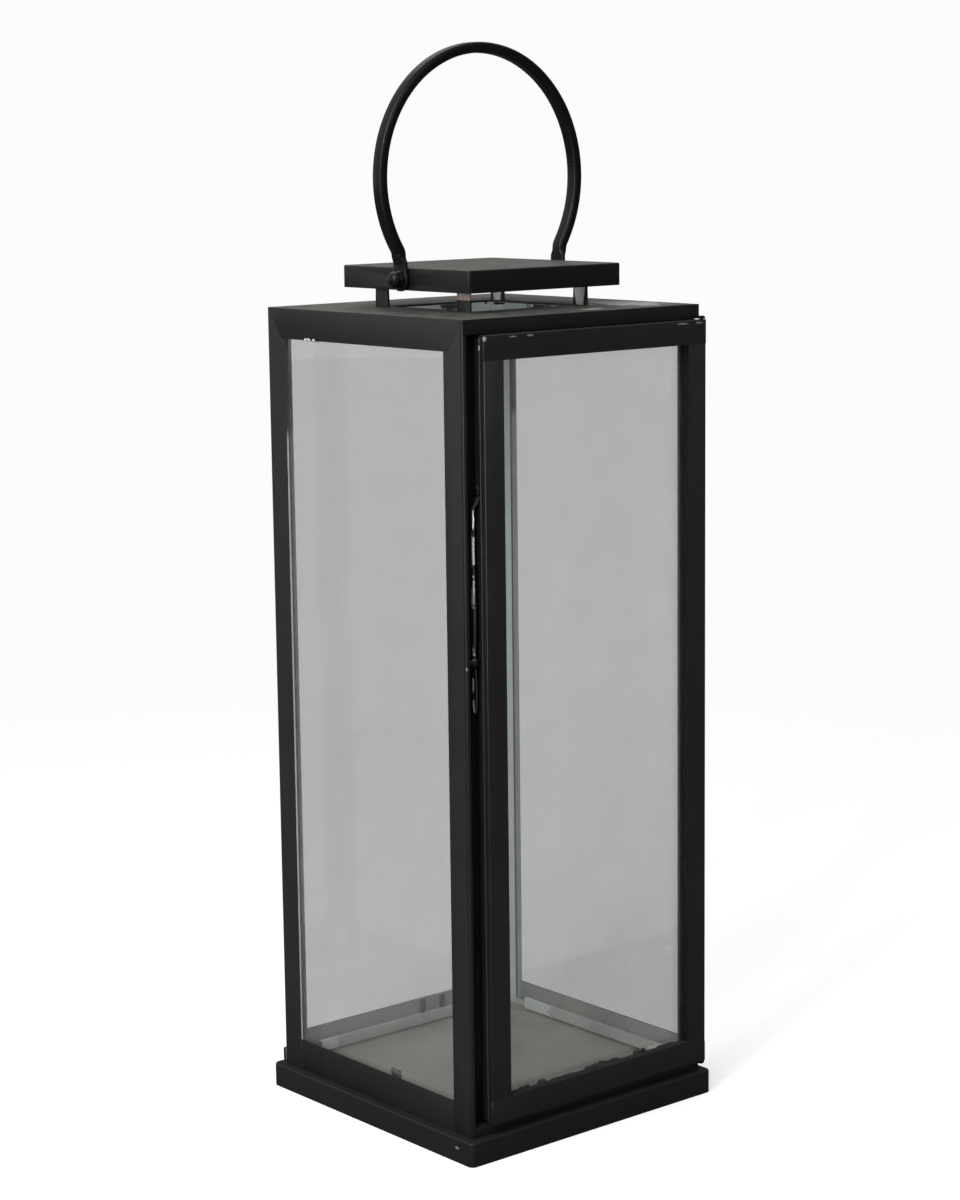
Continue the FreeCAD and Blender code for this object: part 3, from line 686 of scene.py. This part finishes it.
def ring_of(builder, points):
    return [builder.verts.new(point) for point in points]


def bridge(builder, rings, closed_ends=True):
    """Join rings of equally many vertices into a tube."""
    for first, second in zip(rings, rings[1:]):
        count = len(first)
        for k in range(count):
            after = (k + 1) % count
            builder.faces.new((first[k], first[after], second[after], second[k]))
    if closed_ends:
        builder.faces.new(list(reversed(rings[0])))
        builder.faces.new(rings[-1])
    bmesh.ops.recalc_face_normals(builder, faces=builder.faces)


def lathed(builder, profile, origin, axis, steps):
    """Turn a profile of (distance along the axis, radius) round an axis through origin."""
    direction = Vector(axis).normalized()
    side = direction.orthogonal().normalized()
    other = direction.cross(side)
    rings = []
    for along, radius in profile:
        ring = circle(origin + direction * along, side, other, radius, steps)
        rings.append(ring_of(builder, ring))
    bridge(builder, rings)


def rounded_section(thick, wide, corner, steps=4):
    """(across, along Y) points round a rounded rectangle."""
    points = []
    for quarter, (u, v) in enumerate(((1, 1), (-1, 1), (-1, -1), (1, -1))):
        for k in range(steps + 1):
            angle = math.radians(90 * quarter + 90 * k / steps)
            points.append((u * (thick / 2 - corner) + corner * math.cos(angle),
                           v * (wide / 2 - corner) + corner * math.sin(angle)))
    return points


def ridge(name, path, radii, material, body):
    """A round ridge of paint or sealant along a path, with its own radius at each point."""
    builder = bmesh.new()
    rings = []
    for k, point in enumerate(path):
        ahead = path[min(k + 1, len(path) - 1)] - path[max(k - 1, 0)]
        direction = ahead.normalized()
        side = direction.cross(OFF_AXIS).normalized()
        other = direction.cross(side)
        rings.append(ring_of(builder, circle(point, side, other, radii[k], RIDGE_SIDES)))
    bridge(builder, rings)
    finished(name, builder, [material], body)


# ---- sheet metal and glass ----
SQUARE_ON = 0.9


def rounded_corner(builder, x, y, radius):
    """Round the upright fold that runs down at x, y."""
    folds = []
    for line in builder.edges:
        ends = [vertex.co for vertex in line.verts]
        if all(abs(end.x - x) < ON_FOLD and abs(end.y - y) < ON_FOLD for end in ends):
            folds.append(line)
    bmesh.ops.bevel(builder, geom=folds, offset=radius, offset_type="OFFSET", segments=4, profile=0.5,
                    affect="EDGES", clamp_overlap=True)


def second_material(builder, chosen):
    """Give the chosen faces the second material."""
    for face in builder.faces:
        if chosen(face):
            face.material_index = 1


def painted_sheet(node, edge, materials=None, bare_inside=False, fold=None, shaded_left_side=False, even=False):
    """Folded sheet: the CAD shape with softened edges.

    bare_inside leaves bare metal where the spray never reached, brightened as painted light; fold is the
    place and radius of a rounded upright fold; the flag for the left side gives it a flat near-black as
    painted shade; and even evens the shading round the bends.
    """
    builder = welded(node)
    if fold:
        rounded_corner(builder, *fold)
    if bare_inside:
        second_material(builder, facing_in)
    if shaded_left_side:
        # The left side's matt near-black is painted shade.
        second_material(builder, lambda face: face.normal.x < -SQUARE_ON)
        materials = [BLACK, SHADE_FLAT_BLACK]
    # The bare metal's bright galvanised copy is painted light.
    materials = materials or [BLACK, LIT_ZINC]
    sheet = finished(node + "_sheet", builder, materials, body_of(node), [node], edge=edge)
    if even:
        sheet.modifiers.new("even_shading", "WEIGHTED_NORMAL")


def top_plate_sheet():
    """The top plate, with bare metal underneath, brightened as painted light."""
    builder = welded("top_plate")
    second_material(builder, lambda face: face.normal.z < -SQUARE_ON)
    finished("top_plate_sheet", builder, [PLATE_GLARE_BLACK, LIT_ZINC], "lantern",
             ["top_plate"], edge=0.3 * MM)


def cap_leg_strip(node):
    """A leg of the cap, bare on the side that looks at the vent."""
    builder = welded(node)
    middle = sum(vertex.co.x for vertex in builder.verts) / len(builder.verts)
    inward = -1.0 if middle > 0 else 1.0
    second_material(builder, lambda face: face.normal.x * inward > SQUARE_ON)
    finished(node + "_strip", builder, [LEG_BLACK, LEG_BARE], "lantern",
             [node], edge=0.25 * MM)


def glass_sheet(node, rim=PANE_EDGE):
    """A pane with arrised edges, which scatter a green light where no sealant covers them."""
    builder = welded(node)
    size = shape(node)[2]
    thin = min(range(3), key=lambda axis: size[axis])
    second_material(builder, lambda face: abs(face.normal[thin]) < 0.5)
    finished(node + "_glass", builder, [PANE, rim], body_of(node), [node],
             smooth=False, edge=0.25 * MM)


def floor_sheet():
    """The floor plate, slightly buckled between its edges."""
    low, high, size = shape("floor_plate")
    deepest = 0.5 * MM
    buckles_per_metre = 26.0
    builder = bmesh.new()
    steps = 36
    rows = []
    for j in range(steps + 1):
        row = []
        for i in range(steps + 1):
            u = i / steps
            v = j / steps
            free = min(1.0, 8 * min(u, 1 - u, v, 1 - v))
            point = Vector((low.x + u * size.x, low.y + v * size.y, 0))
            sag = deepest * free * (0.5 + 0.5 * noise.noise(point * buckles_per_metre))
            row.append(builder.verts.new((point.x, point.y, high.z - sag)))
        rows.append(row)
    for j in range(steps):
        for i in range(steps):
            builder.faces.new((rows[j][i], rows[j][i + 1], rows[j + 1][i + 1], rows[j + 1][i]))
    rim = rows[0][:-1] + [row[-1] for row in rows[:-1]] + rows[-1][:0:-1] + [row[0] for row in rows[:0:-1]]
    foot = [builder.verts.new((vertex.co.x, vertex.co.y, low.z)) for vertex in rim]
    for k in range(len(rim)):
        after = (k + 1) % len(rim)
        builder.faces.new((rim[k], foot[k], foot[after], rim[after]))
    builder.faces.new(list(reversed(foot)))
    bmesh.ops.recalc_face_normals(builder, faces=builder.faces)
    finished("floor_plate_sheet", builder, [FLOOR_ZINC], "lantern",
             ["floor_plate"], edge=0.2 * MM)


# ---- handle ----
BAR_THICK = 6.6 * MM
BAR_WIDE = 8.5 * MM
TAB_THICK = 3.0 * MM
TAB_WIDE = 11.5 * MM
TAB_RISE = 9.0 * MM
EYE_RADIUS = 7.0 * MM
NECK_RADIUS = 7.0 * MM
NECK_X = 64.3 * MM
BAR_WAVER = 0.12 * MM
BAR_WAVES = 45.0
WASHER_GAP = 0.2 * MM
BOLT_GAP = 0.35 * MM
WASHER_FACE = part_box("pivot_washers")[1].x
# Angles round the eye: just past its foot, and where its outline meets the flattened bar.
EYE_FOOT = 0.03
EYE_TOP = math.asin(3.99 / 7.0)


def handle_half():
    """Stations of the right half, from the eye's foot to the top: (x, z, heading, thick, wide)."""
    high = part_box("handle")[1]
    radius = high.x - BAR_THICK / 2
    centre = high.z - high.x
    tab_x = WASHER_FACE + WASHER_GAP + TAB_THICK / 2
    reach = NECK_X + NECK_RADIUS
    span = radius + NECK_RADIUS
    neck = centre - math.sqrt(span ** 2 - reach ** 2)
    turn = math.acos(reach / span)
    stations = []
    eye_steps = 14
    for k in range(eye_steps + 1):
        angle = -0.5 * math.pi + EYE_FOOT + k / eye_steps * (0.5 * math.pi + EYE_TOP - EYE_FOOT)
        rise = EYE_RADIUS * math.sin(angle)
        stations.append((tab_x, PIVOT + rise, 0.0, TAB_THICK, 2 * EYE_RADIUS * math.cos(angle)))
    taper_steps = 12
    start = PIVOT + TAB_RISE
    for k in range(taper_steps):
        share = k / taper_steps
        ease = share * share * (3 - 2 * share)
        x = tab_x + (NECK_X - tab_x) * ease
        thick = TAB_THICK + (BAR_THICK - TAB_THICK) * ease
        wide = TAB_WIDE + (BAR_WIDE - TAB_WIDE) * ease
        stations.append((x, start + (neck - start) * share, 0.0, thick, wide))
    bend_steps = 8
    for k in range(bend_steps):
        angle = turn * k / bend_steps
        x = reach - NECK_RADIUS * math.cos(angle)
        z = neck + NECK_RADIUS * math.sin(angle)
        stations.append((x, z, -angle, BAR_THICK, BAR_WIDE))
    loop_steps = 56
    for k in range(loop_steps):
        angle = -turn + (turn + 0.5 * math.pi) * k / loop_steps
        x = radius * math.cos(angle)
        z = centre + radius * math.sin(angle)
        stations.append((x, z, angle, BAR_THICK, BAR_WIDE))
    top = (0.0, centre + radius, 0.5 * math.pi, BAR_THICK, BAR_WIDE)
    return stations, top


def handle_bar():
    """One bar bent to a loop, flattened at both ends into the pivot eyes."""
    half, top = handle_half()
    mirrored = [(-x, z, math.pi - heading, thick, wide) for x, z, heading, thick, wide in reversed(half)]
    builder = bmesh.new()
    rings = []
    for x, z, heading, thick, wide in half + [top] + mirrored:
        across = Vector((math.cos(heading), 0, math.sin(heading)))
        corner = min(2.2 * MM, 0.36 * thick, 0.45 * wide)
        waver = BAR_WAVER * noise.noise(Vector((x, z, 0.3)) * BAR_WAVES)
        centre = Vector((x, 0, z)) + across * waver
        ring = [centre + across * u + Vector((0, v, 0)) for u, v in rounded_section(thick, wide, corner)]
        rings.append(ring_of(builder, ring))
    bridge(builder, rings)
    finished("handle_bar", builder, [GLOSSY_BLACK], "handle", ["handle"])


def pivot_bolt(side, name):
    """Domed bolt on the handle's pivot: a soft hexagon under a round dome, thick with paint."""
    seat = WASHER_FACE + BOLT_GAP + TAB_THICK
    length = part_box("pivot_bolts")[1].x - seat
    builder = bmesh.new()
    origin = Vector((side * seat, 0, PIVOT))
    collar = 3.2 * MM
    flats = 5.6 * MM
    dome = 5.0 * MM
    shank = 1.9 * MM
    hexagon_pull = 0.885
    profile = [(-7.6 * MM, shank), (0.0, shank), (0.0, flats - 0.3 * MM), (0.3 * MM, flats),
               (collar - 0.6 * MM, flats), (collar, flats - 0.7 * MM)]
    dome_steps = 12
    for k in range(dome_steps):
        angle = 0.5 * math.pi * k / (dome_steps - 1)
        radius = max(dome * math.cos(angle), 0.15 * MM)
        profile.append((collar + (length - collar) * math.sin(angle), radius))
    lathed(builder, profile, origin, (side, 0, 0), 60)
    for vertex in builder.verts:
        away = vertex.co - origin
        along = away.x * side
        if 0.1 * MM < along < collar:
            angle = math.atan2(away.z, away.y)
            step = math.radians(60)
            flat = math.cos((angle % step) - step / 2)
            pull = hexagon_pull / max(flat, 0.1)
            vertex.co.y = origin.y + away.y * min(pull, 1.0)
            vertex.co.z = origin.z + away.z * min(pull, 1.0)
    finished(name, builder, [GLOSSY_BLACK], "lantern", ["pivot_bolts"])


# ---- catch ----
LEAF_ROOT = 8.0 * MM
LEAF_BEND_END = 12.5 * MM
LEAF_HALF_THICK = 0.22 * MM
LEAF_HALF_WIDE = 1.95 * MM
LEAF_CROWN = 0.75 * MM
LEAF_TIP = 6.0 * MM
LEAF_STEPS = 60
LEAF_POINTS = 9
LOOP_HALF_WIDE = 1.5 * MM
LOOP_WIRE = 0.45 * MM
LOOP_STEPS = 48
LOOP_SIDES = 8


def leaf_strip(builder, high, straight, middle, foot):
    """The strip: flat at its root, then bent back to straight and crowned, and waisted down to its foot."""
    rings = []
    for k in range(LEAF_STEPS + 1):
        z = high.z - (high.z - foot) * k / LEAF_STEPS
        drop = high.z - z
        share = min(max((drop - LEAF_ROOT) / (LEAF_BEND_END - LEAF_ROOT), 0.0), 1.0)
        x = high.x - 0.3 * MM + (straight - high.x + 0.3 * MM) * share
        tip = min(1.0, 0.55 + 0.45 * min(drop, z - foot) / LEAF_TIP)
        waist = 0.78 + 0.22 * math.cos(2 * math.pi * (drop / (high.z - foot) * 1.5))
        half_width = LEAF_HALF_WIDE * tip * waist
        crown = LEAF_CROWN * share
        ring = []
        for side in (-1, 1):
            for n in range(LEAF_POINTS):
                v = side - side * 2 * n / (LEAF_POINTS - 1)
                skin = x + side * LEAF_HALF_THICK
                ring.append(Vector((skin - crown * (1 - v * v), middle + v * half_width, z)))
        rings.append(ring_of(builder, ring))
    bridge(builder, rings)


def wire_loop(builder, straight, middle, foot, top):
    """A narrow upright loop of wire, closed on itself."""
    half_long = (top - foot) / 2
    centres = []
    for k in range(LOOP_STEPS):
        angle = 2 * math.pi * k / LOOP_STEPS
        squeeze = math.copysign(abs(math.cos(angle)) ** 0.6, math.cos(angle))
        z = foot + half_long + half_long * math.sin(angle)
        centres.append(Vector((straight, middle + LOOP_HALF_WIDE * squeeze, z)))
    side = Vector((1, 0, 0))
    rings = []
    for k, centre in enumerate(centres):
        ahead = (centres[(k + 1) % LOOP_STEPS] - centres[k - 1]).normalized()
        other = ahead.cross(side).normalized()
        rings.append(ring_of(builder, circle(centre, side, other, LOOP_WIRE, LOOP_SIDES)))
    bridge(builder, rings + rings[:1], closed_ends=False)


def catch_leaf():
    """Crowned leaf that ends below the knob in a narrow wire loop."""
    low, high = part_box("catch_spring")
    knob_low, knob_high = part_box("catch_knob")
    knob_z = (knob_low.z + knob_high.z) / 2
    middle = (low.y + high.y) / 2
    straight = low.x + 0.25 * MM
    builder = bmesh.new()
    leaf_strip(builder, high, straight, middle, knob_z - 4.5 * MM)
    wire_loop(builder, straight, middle, low.z + 1.0 * MM, knob_z - 3.0 * MM)
    finished("catch_leaf", builder, [SPRING_STEEL_GLINTS], "catch", ["catch_spring"])


def right_middle(node):
    """The middle of the right side of a node's box, and the box's size."""
    low, high, size = shape(node)
    return Vector((high.x, (low.y + high.y) / 2, (low.z + high.z) / 2)), size


def catch_button():
    """Turned knob with a grooved rim, and its riveted tail behind the leaf."""
    middle, size = right_middle("catch_knob")
    length = size.x
    rim = size.z / 2
    profile = [(0.0, 1.0 * MM), (0.1 * MM, 1.7 * MM), (0.7 * MM, 1.8 * MM), (0.9 * MM, rim - 1.0 * MM),
               (1.2 * MM, rim - 0.2 * MM), (1.8 * MM, rim), (2.2 * MM, rim - 0.35 * MM),
               (2.6 * MM, rim - 0.1 * MM), (3.2 * MM, rim - 0.5 * MM), (3.8 * MM, rim - 1.4 * MM),
               (length - 1.2 * MM, 2.3 * MM), (length - 0.4 * MM, 1.7 * MM), (length, 0.7 * MM)]
    builder = bmesh.new()
    lathed(builder, profile, middle, (-1, 0, 0), 40)
    finished("catch_button", builder, [GLOSSY_BLACK], "catch", ["catch_knob"])


def catch_rivet_head():
    """The rivet that holds the leaf, with a head at each end."""
    middle, size = right_middle("catch_rivet")
    length = size.x
    radius = size.z / 2
    profile = [(0.0, 1.0 * MM), (0.2 * MM, 1.8 * MM), (0.7 * MM, 1.9 * MM), (0.75 * MM, 1.2 * MM),
               (length - 1.0 * MM, 1.2 * MM), (length - 0.95 * MM, radius),
               (length - 0.5 * MM, radius * 0.92), (length - 0.15 * MM, radius * 0.6),
               (length, radius * 0.15)]
    builder = bmesh.new()
    lathed(builder, profile, middle, (-1, 0, 0), 32)
    finished("catch_rivet_head", builder, [GLOSSY_BLACK], "door", ["catch_rivet"])


# ---- beads of sealant and thick paint ----
BEAD_STEP = 1.6 * MM
BEAD_WANDER = 0.4 * MM
BEAD_WANDERS = 90.0
BEAD_SWELLS = 160.0
HEM_RADIUS = 0.62 * MM
HEM_WAVER = 0.05 * MM
HEM_WAVES = 30.0


def bead(name, start, end, radius, lumps, seed, body):
    """A hand-laid bead of sealant from start to end that swells and thins."""
    draw = random.Random(seed)
    length = (end - start).length
    steps = max(12, int(length / BEAD_STEP))
    shift = draw.uniform(0, 50)
    path = []
    radii = []
    for k in range(steps + 1):
        share = k / steps
        wander = noise.noise(Vector((share * length * BEAD_WANDERS, shift, 0.0)))
        swell = noise.noise(Vector((share * length * BEAD_SWELLS, shift + 9.0, 4.0)))
        ends = min(1.0, 6 * min(share, 1 - share) + 0.15)
        path.append(start.lerp(end, share) + Vector((0, 0, BEAD_WANDER * wander)))
        radii.append(radius * ends * (1.0 + lumps * max(swell, -0.6)))
    ridge(name, path, radii, SEALANT, body)


# Start and end along X, and radius, in millimetres.
DOOR_BEADS = (
    (-66, -54, 1.0), (-54, -46, 2.3), (-39, -33, 2.4), (-30, -8, 1.1),
    (-1, 11, 2.1), (9, 30, 2.3), (41, 51, 2.4), (60, 76, 1.2),
)


def door_beads():
    """Sealant behind the foot of the door's glass, which shows over the rail in places."""
    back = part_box("door_glass")[1].y + 0.9 * MM
    height = WINDOW_LOW - 1.8 * MM
    for k, (start, end, radius) in enumerate(DOOR_BEADS):
        bead(f"door_bead_{k + 1}", Vector((start * MM, back, height)), Vector((end * MM, back, height)),
             radius * MM, lumps=0.55, seed=40 + k, body="door")


def hinge_corner_bead():
    """A bead that closes the gap under the front top rail, over the door's hinge corner."""
    place = Vector((0, STOP_FRONT - 3.8 * MM, DOOR_TOP - 0.35 * MM))
    start = place + Vector((84.5 * MM, 0, 0))
    end = place + Vector((94.8 * MM, 0, 0))
    bead("hinge_corner_bead", start, end, 0.7 * MM, lumps=0.0, seed=90, body="lantern")


def door_hem():
    """Rolled hem down the latch side of the door, behind its front fold."""
    x = DOOR_LOW.x + 0.25 * MM
    y = DOOR_FRONT + 4.3 * MM
    draw = random.Random(7)
    shift = draw.uniform(0, 40)
    path = []
    radii = []
    steps = 120
    for k in range(steps + 1):
        z = DOOR_LOW.z + 1.5 * MM + (DOOR_TOP - DOOR_LOW.z - 3.0 * MM) * k / steps
        path.append(Vector((x + HEM_WAVER * noise.noise(Vector((z * HEM_WAVES, shift, 0.0))), y, z)))
        radii.append(HEM_RADIUS)
    # The hem's lighter paint is a painted highlight.
    ridge("door_hem", path, radii, HEM_HIGHLIGHT_BLACK, "door")


def plinth_bead():
    """Wavy ridge of thick paint along the left edge of the plinth's top."""
    x = PLINTH_LOW.x + 1.0 * MM
    z = PLINTH_HIGH.z - 0.55 * MM
    path = []
    radii = []
    steps = 150
    for k in range(steps + 1):
        y = PLINTH_HIGH.y - 6 * MM - (PLINTH_HIGH.y - PLINTH_LOW.y - 12 * MM) * k / steps
        wave = noise.noise(Vector((y * 34.0, 3.0, 1.0)))
        path.append(Vector((x + 0.25 * MM * wave, y, z)))
        radii.append(0.5 * MM + 0.18 * MM * noise.noise(Vector((y * 55.0, 8.0, 2.0))))
    ridge("plinth_bead", path, radii, BLACK, "lantern")


# ---- stage ----
BACKDROP = 0.97
STAGE_GLOW = 0.50
STAGE_GLOW_IN_GLASS = 0.36
STAGE_PALE = rgb(0.80, 0.80, 0.80)
STAGE_MOTTLE = rgb(0.82, 0.82, 0.815)
STAGE_BOUNCE = rgb(0.16, 0.16, 0.16)
STAGE_RADIUS = 6.0
STAGE_FADE = (0.30, 1.4)
LIGHT_FROM = Vector((-0.74, 0.42, 0.52)).normalized()
LIGHT_RANGE = (-0.7, 0.8)
LIGHT_LEVELS = (0.07, 0.68)


def stage_floor():
    """A round pale floor that fades into the backdrop."""
    builder = bmesh.new()
    bmesh.ops.create_circle(builder, cap_ends=True, segments=128, radius=STAGE_RADIUS)
    mesh = bpy.data.meshes.new("stage_floor")
    builder.to_mesh(mesh)
    builder.free()
    floor = bpy.data.objects.new("stage_floor", mesh)
    bpy.context.scene.collection.objects.link(floor)
    finish = Finish("pale_floor")
    mottle = finish.noise(3.0, detail=4.0)
    pale = finish.mix(mottle, STAGE_PALE, STAGE_MOTTLE)
    path = finish.add("ShaderNodeLightPath")
    direct = path.outputs["Is Camera Ray"]
    through = path.outputs["Is Transmission Ray"]
    seen = finish.math("MAXIMUM", direct, through)
    finish.set("Base Color", finish.mix(seen, STAGE_BOUNCE, pale))
    finish.set("Roughness", 0.9)
    finish.set("Specular IOR Level", 0.1)
    finish.set("Emission Color", rgb(1.0, 1.0, 1.0))
    glow = finish.times(direct, STAGE_GLOW)
    glow = finish.math("ADD", glow, finish.times(through, STAGE_GLOW_IN_GLASS))
    finish.set("Emission Strength", glow)
    span = finish.add("ShaderNodeVectorMath", operation="LENGTH")
    finish.feed(span.inputs[0], finish.place)
    fade = finish.times(seen, finish.remap(span.outputs["Value"], *STAGE_FADE))
    gone = finish.add("ShaderNodeBsdfTransparent")
    blend = finish.add("ShaderNodeMixShader")
    finish.feed(blend.inputs[0], fade)
    finish.feed(blend.inputs[1], finish.shader.outputs[0])
    finish.feed(blend.inputs[2], gone.outputs[0])
    finish.feed(finish.output.inputs["Surface"], blend.outputs[0])
    mesh.materials.append(finish.material)


def studio_world():
    """Pale backdrop. What lights the object is softer, and brighter from behind on the left."""
    world = bpy.data.worlds.new("studio")
    bpy.context.scene.world = world
    world.use_nodes = True
    tree = world.node_tree
    background = tree.nodes["Background"]
    background.inputs["Color"].default_value = rgb(1.0, 1.0, 1.0)
    coordinates = tree.nodes.new("ShaderNodeTexCoord")
    side = tree.nodes.new("ShaderNodeVectorMath")
    side.operation = "DOT_PRODUCT"
    side.inputs[1].default_value = LIGHT_FROM
    tree.links.new(coordinates.outputs["Generated"], side.inputs[0])
    gradient = tree.nodes.new("ShaderNodeMapRange")
    gradient.inputs["From Min"].default_value = LIGHT_RANGE[0]
    gradient.inputs["From Max"].default_value = LIGHT_RANGE[1]
    gradient.inputs["To Min"].default_value = LIGHT_LEVELS[0]
    gradient.inputs["To Max"].default_value = LIGHT_LEVELS[1]
    tree.links.new(side.outputs["Value"], gradient.inputs["Value"])
    path = tree.nodes.new("ShaderNodeLightPath")
    seen = tree.nodes.new("ShaderNodeMath")
    seen.operation = "MAXIMUM"
    tree.links.new(path.outputs["Is Camera Ray"], seen.inputs[0])
    tree.links.new(path.outputs["Is Transmission Ray"], seen.inputs[1])
    choice = tree.nodes.new("ShaderNodeMix")
    choice.data_type = "FLOAT"
    tree.links.new(seen.outputs[0], choice.inputs[PLAIN_FACTOR])
    tree.links.new(gradient.outputs["Result"], choice.inputs[PLAIN_FIRST])
    choice.inputs[PLAIN_SECOND].default_value = BACKDROP
    tree.links.new(choice.outputs[PLAIN_RESULT], background.inputs["Strength"])


def lamp(name, place, target, size, power, diffuse=1.0):
    """A soft rectangular light that points at target. diffuse 0 leaves only its reflection."""
    light = bpy.data.lights.new(name, "AREA")
    light.diffuse_factor = diffuse
    light.shape = "RECTANGLE"
    light.size, light.size_y = size
    light.energy = power
    holder = bpy.data.objects.new(name, light)
    holder.location = place
    holder.rotation_euler = (Vector(target) - Vector(place)).to_track_quat("-Z", "Y").to_euler()
    bpy.context.scene.collection.objects.link(holder)


def camera():
    """The photograph's view. Its place and lens were worked out from the lantern's straight edges."""
    data = bpy.data.cameras.new("camera")
    data.sensor_width = 36.0
    data.lens = 82.3635
    holder = bpy.data.objects.new("camera", data)
    holder.location = (-1.09155, -1.29184, 0.60580)
    holder.rotation_euler = Euler([math.radians(angle) for angle in (80.3657, 0.7017, -40.2059)])
    bpy.context.scene.collection.objects.link(holder)
    bpy.context.scene.camera = holder


# ---- making ----
camera()
stage_floor()
studio_world()
lamp("key_light", (-1.5, -0.5, 1.9), target=(0, 0, 0.3), size=(1.4, 1.4), power=22)
lamp("fill_light", (0.2, -2.2, 1.6), target=(0, 0, 0.3), size=(1.8, 1.2), power=5)
lamp("edge_light", (-1.55, -0.75, 0.7), target=(-0.09, -0.09, 0.3), size=(0.16, 1.7), power=12, diffuse=0.0)
bpy.context.scene.view_settings.view_transform = "Standard"

for corner in ("front_left", "front_right", "rear_left", "rear_right"):
    fold = (POST_LOW.x, POST_LOW.y, 1.1 * MM) if corner == "front_left" else None
    painted_sheet(corner + "_post", bare_inside=corner != "front_right", edge=0.06 * MM, fold=fold,
                  even=corner.startswith("rear"))
    cap_leg_strip("cap_leg_" + corner)
for face in ("front", "left", "right", "rear"):
    painted_sheet(face + "_top_rail", bare_inside=True, edge=0.12 * MM)
    # The bottom rails' darker galvanised copy is painted shade.
    painted_sheet(face + "_bottom_rail", bare_inside=True, edge=0.06 * MM, materials=[BLACK, SHADED_RAIL_ZINC])
for face in ("left", "right", "rear"):
    glass_sheet(face + "_pane", SEALANT if face == "right" else PANE_EDGE)
    painted_sheet(face + "_pane_retainer", edge=0.2 * MM, materials=[STRIP_ZINC])
    painted_sheet(face + "_pane_clips", edge=0.2 * MM)
for node in ("door_top_rail", "door_bottom_rail", "door_latch_stile", "door_hinge_stile", "base_plinth",
             "cap"):
    # The hinge stile's left side is matt near-black: painted shade.
    painted_sheet(node, edge=0.3 * MM, shaded_left_side=node == "door_hinge_stile")
# The hinge's ears and pins are matt near-black: painted shade.
for node in ("upper_hinge_ear", "lower_hinge_ear", "upper_hinge_pin", "lower_hinge_pin"):
    painted_sheet(node, edge=0.15 * MM, materials=[SHADE_FLAT_BLACK])
for node in ("pivot_washers", "pivot_nuts", "door_glass_clips"):
    painted_sheet(node, edge=0.15 * MM)
glass_sheet("door_glass")
top_plate_sheet()
floor_sheet()
handle_bar()
pivot_bolt(1, "pivot_bolt_right")
pivot_bolt(-1, "pivot_bolt_left")
catch_leaf()
catch_button()
catch_rivet_head()
door_beads()
hinge_corner_bead()
door_hem()
plinth_bead()
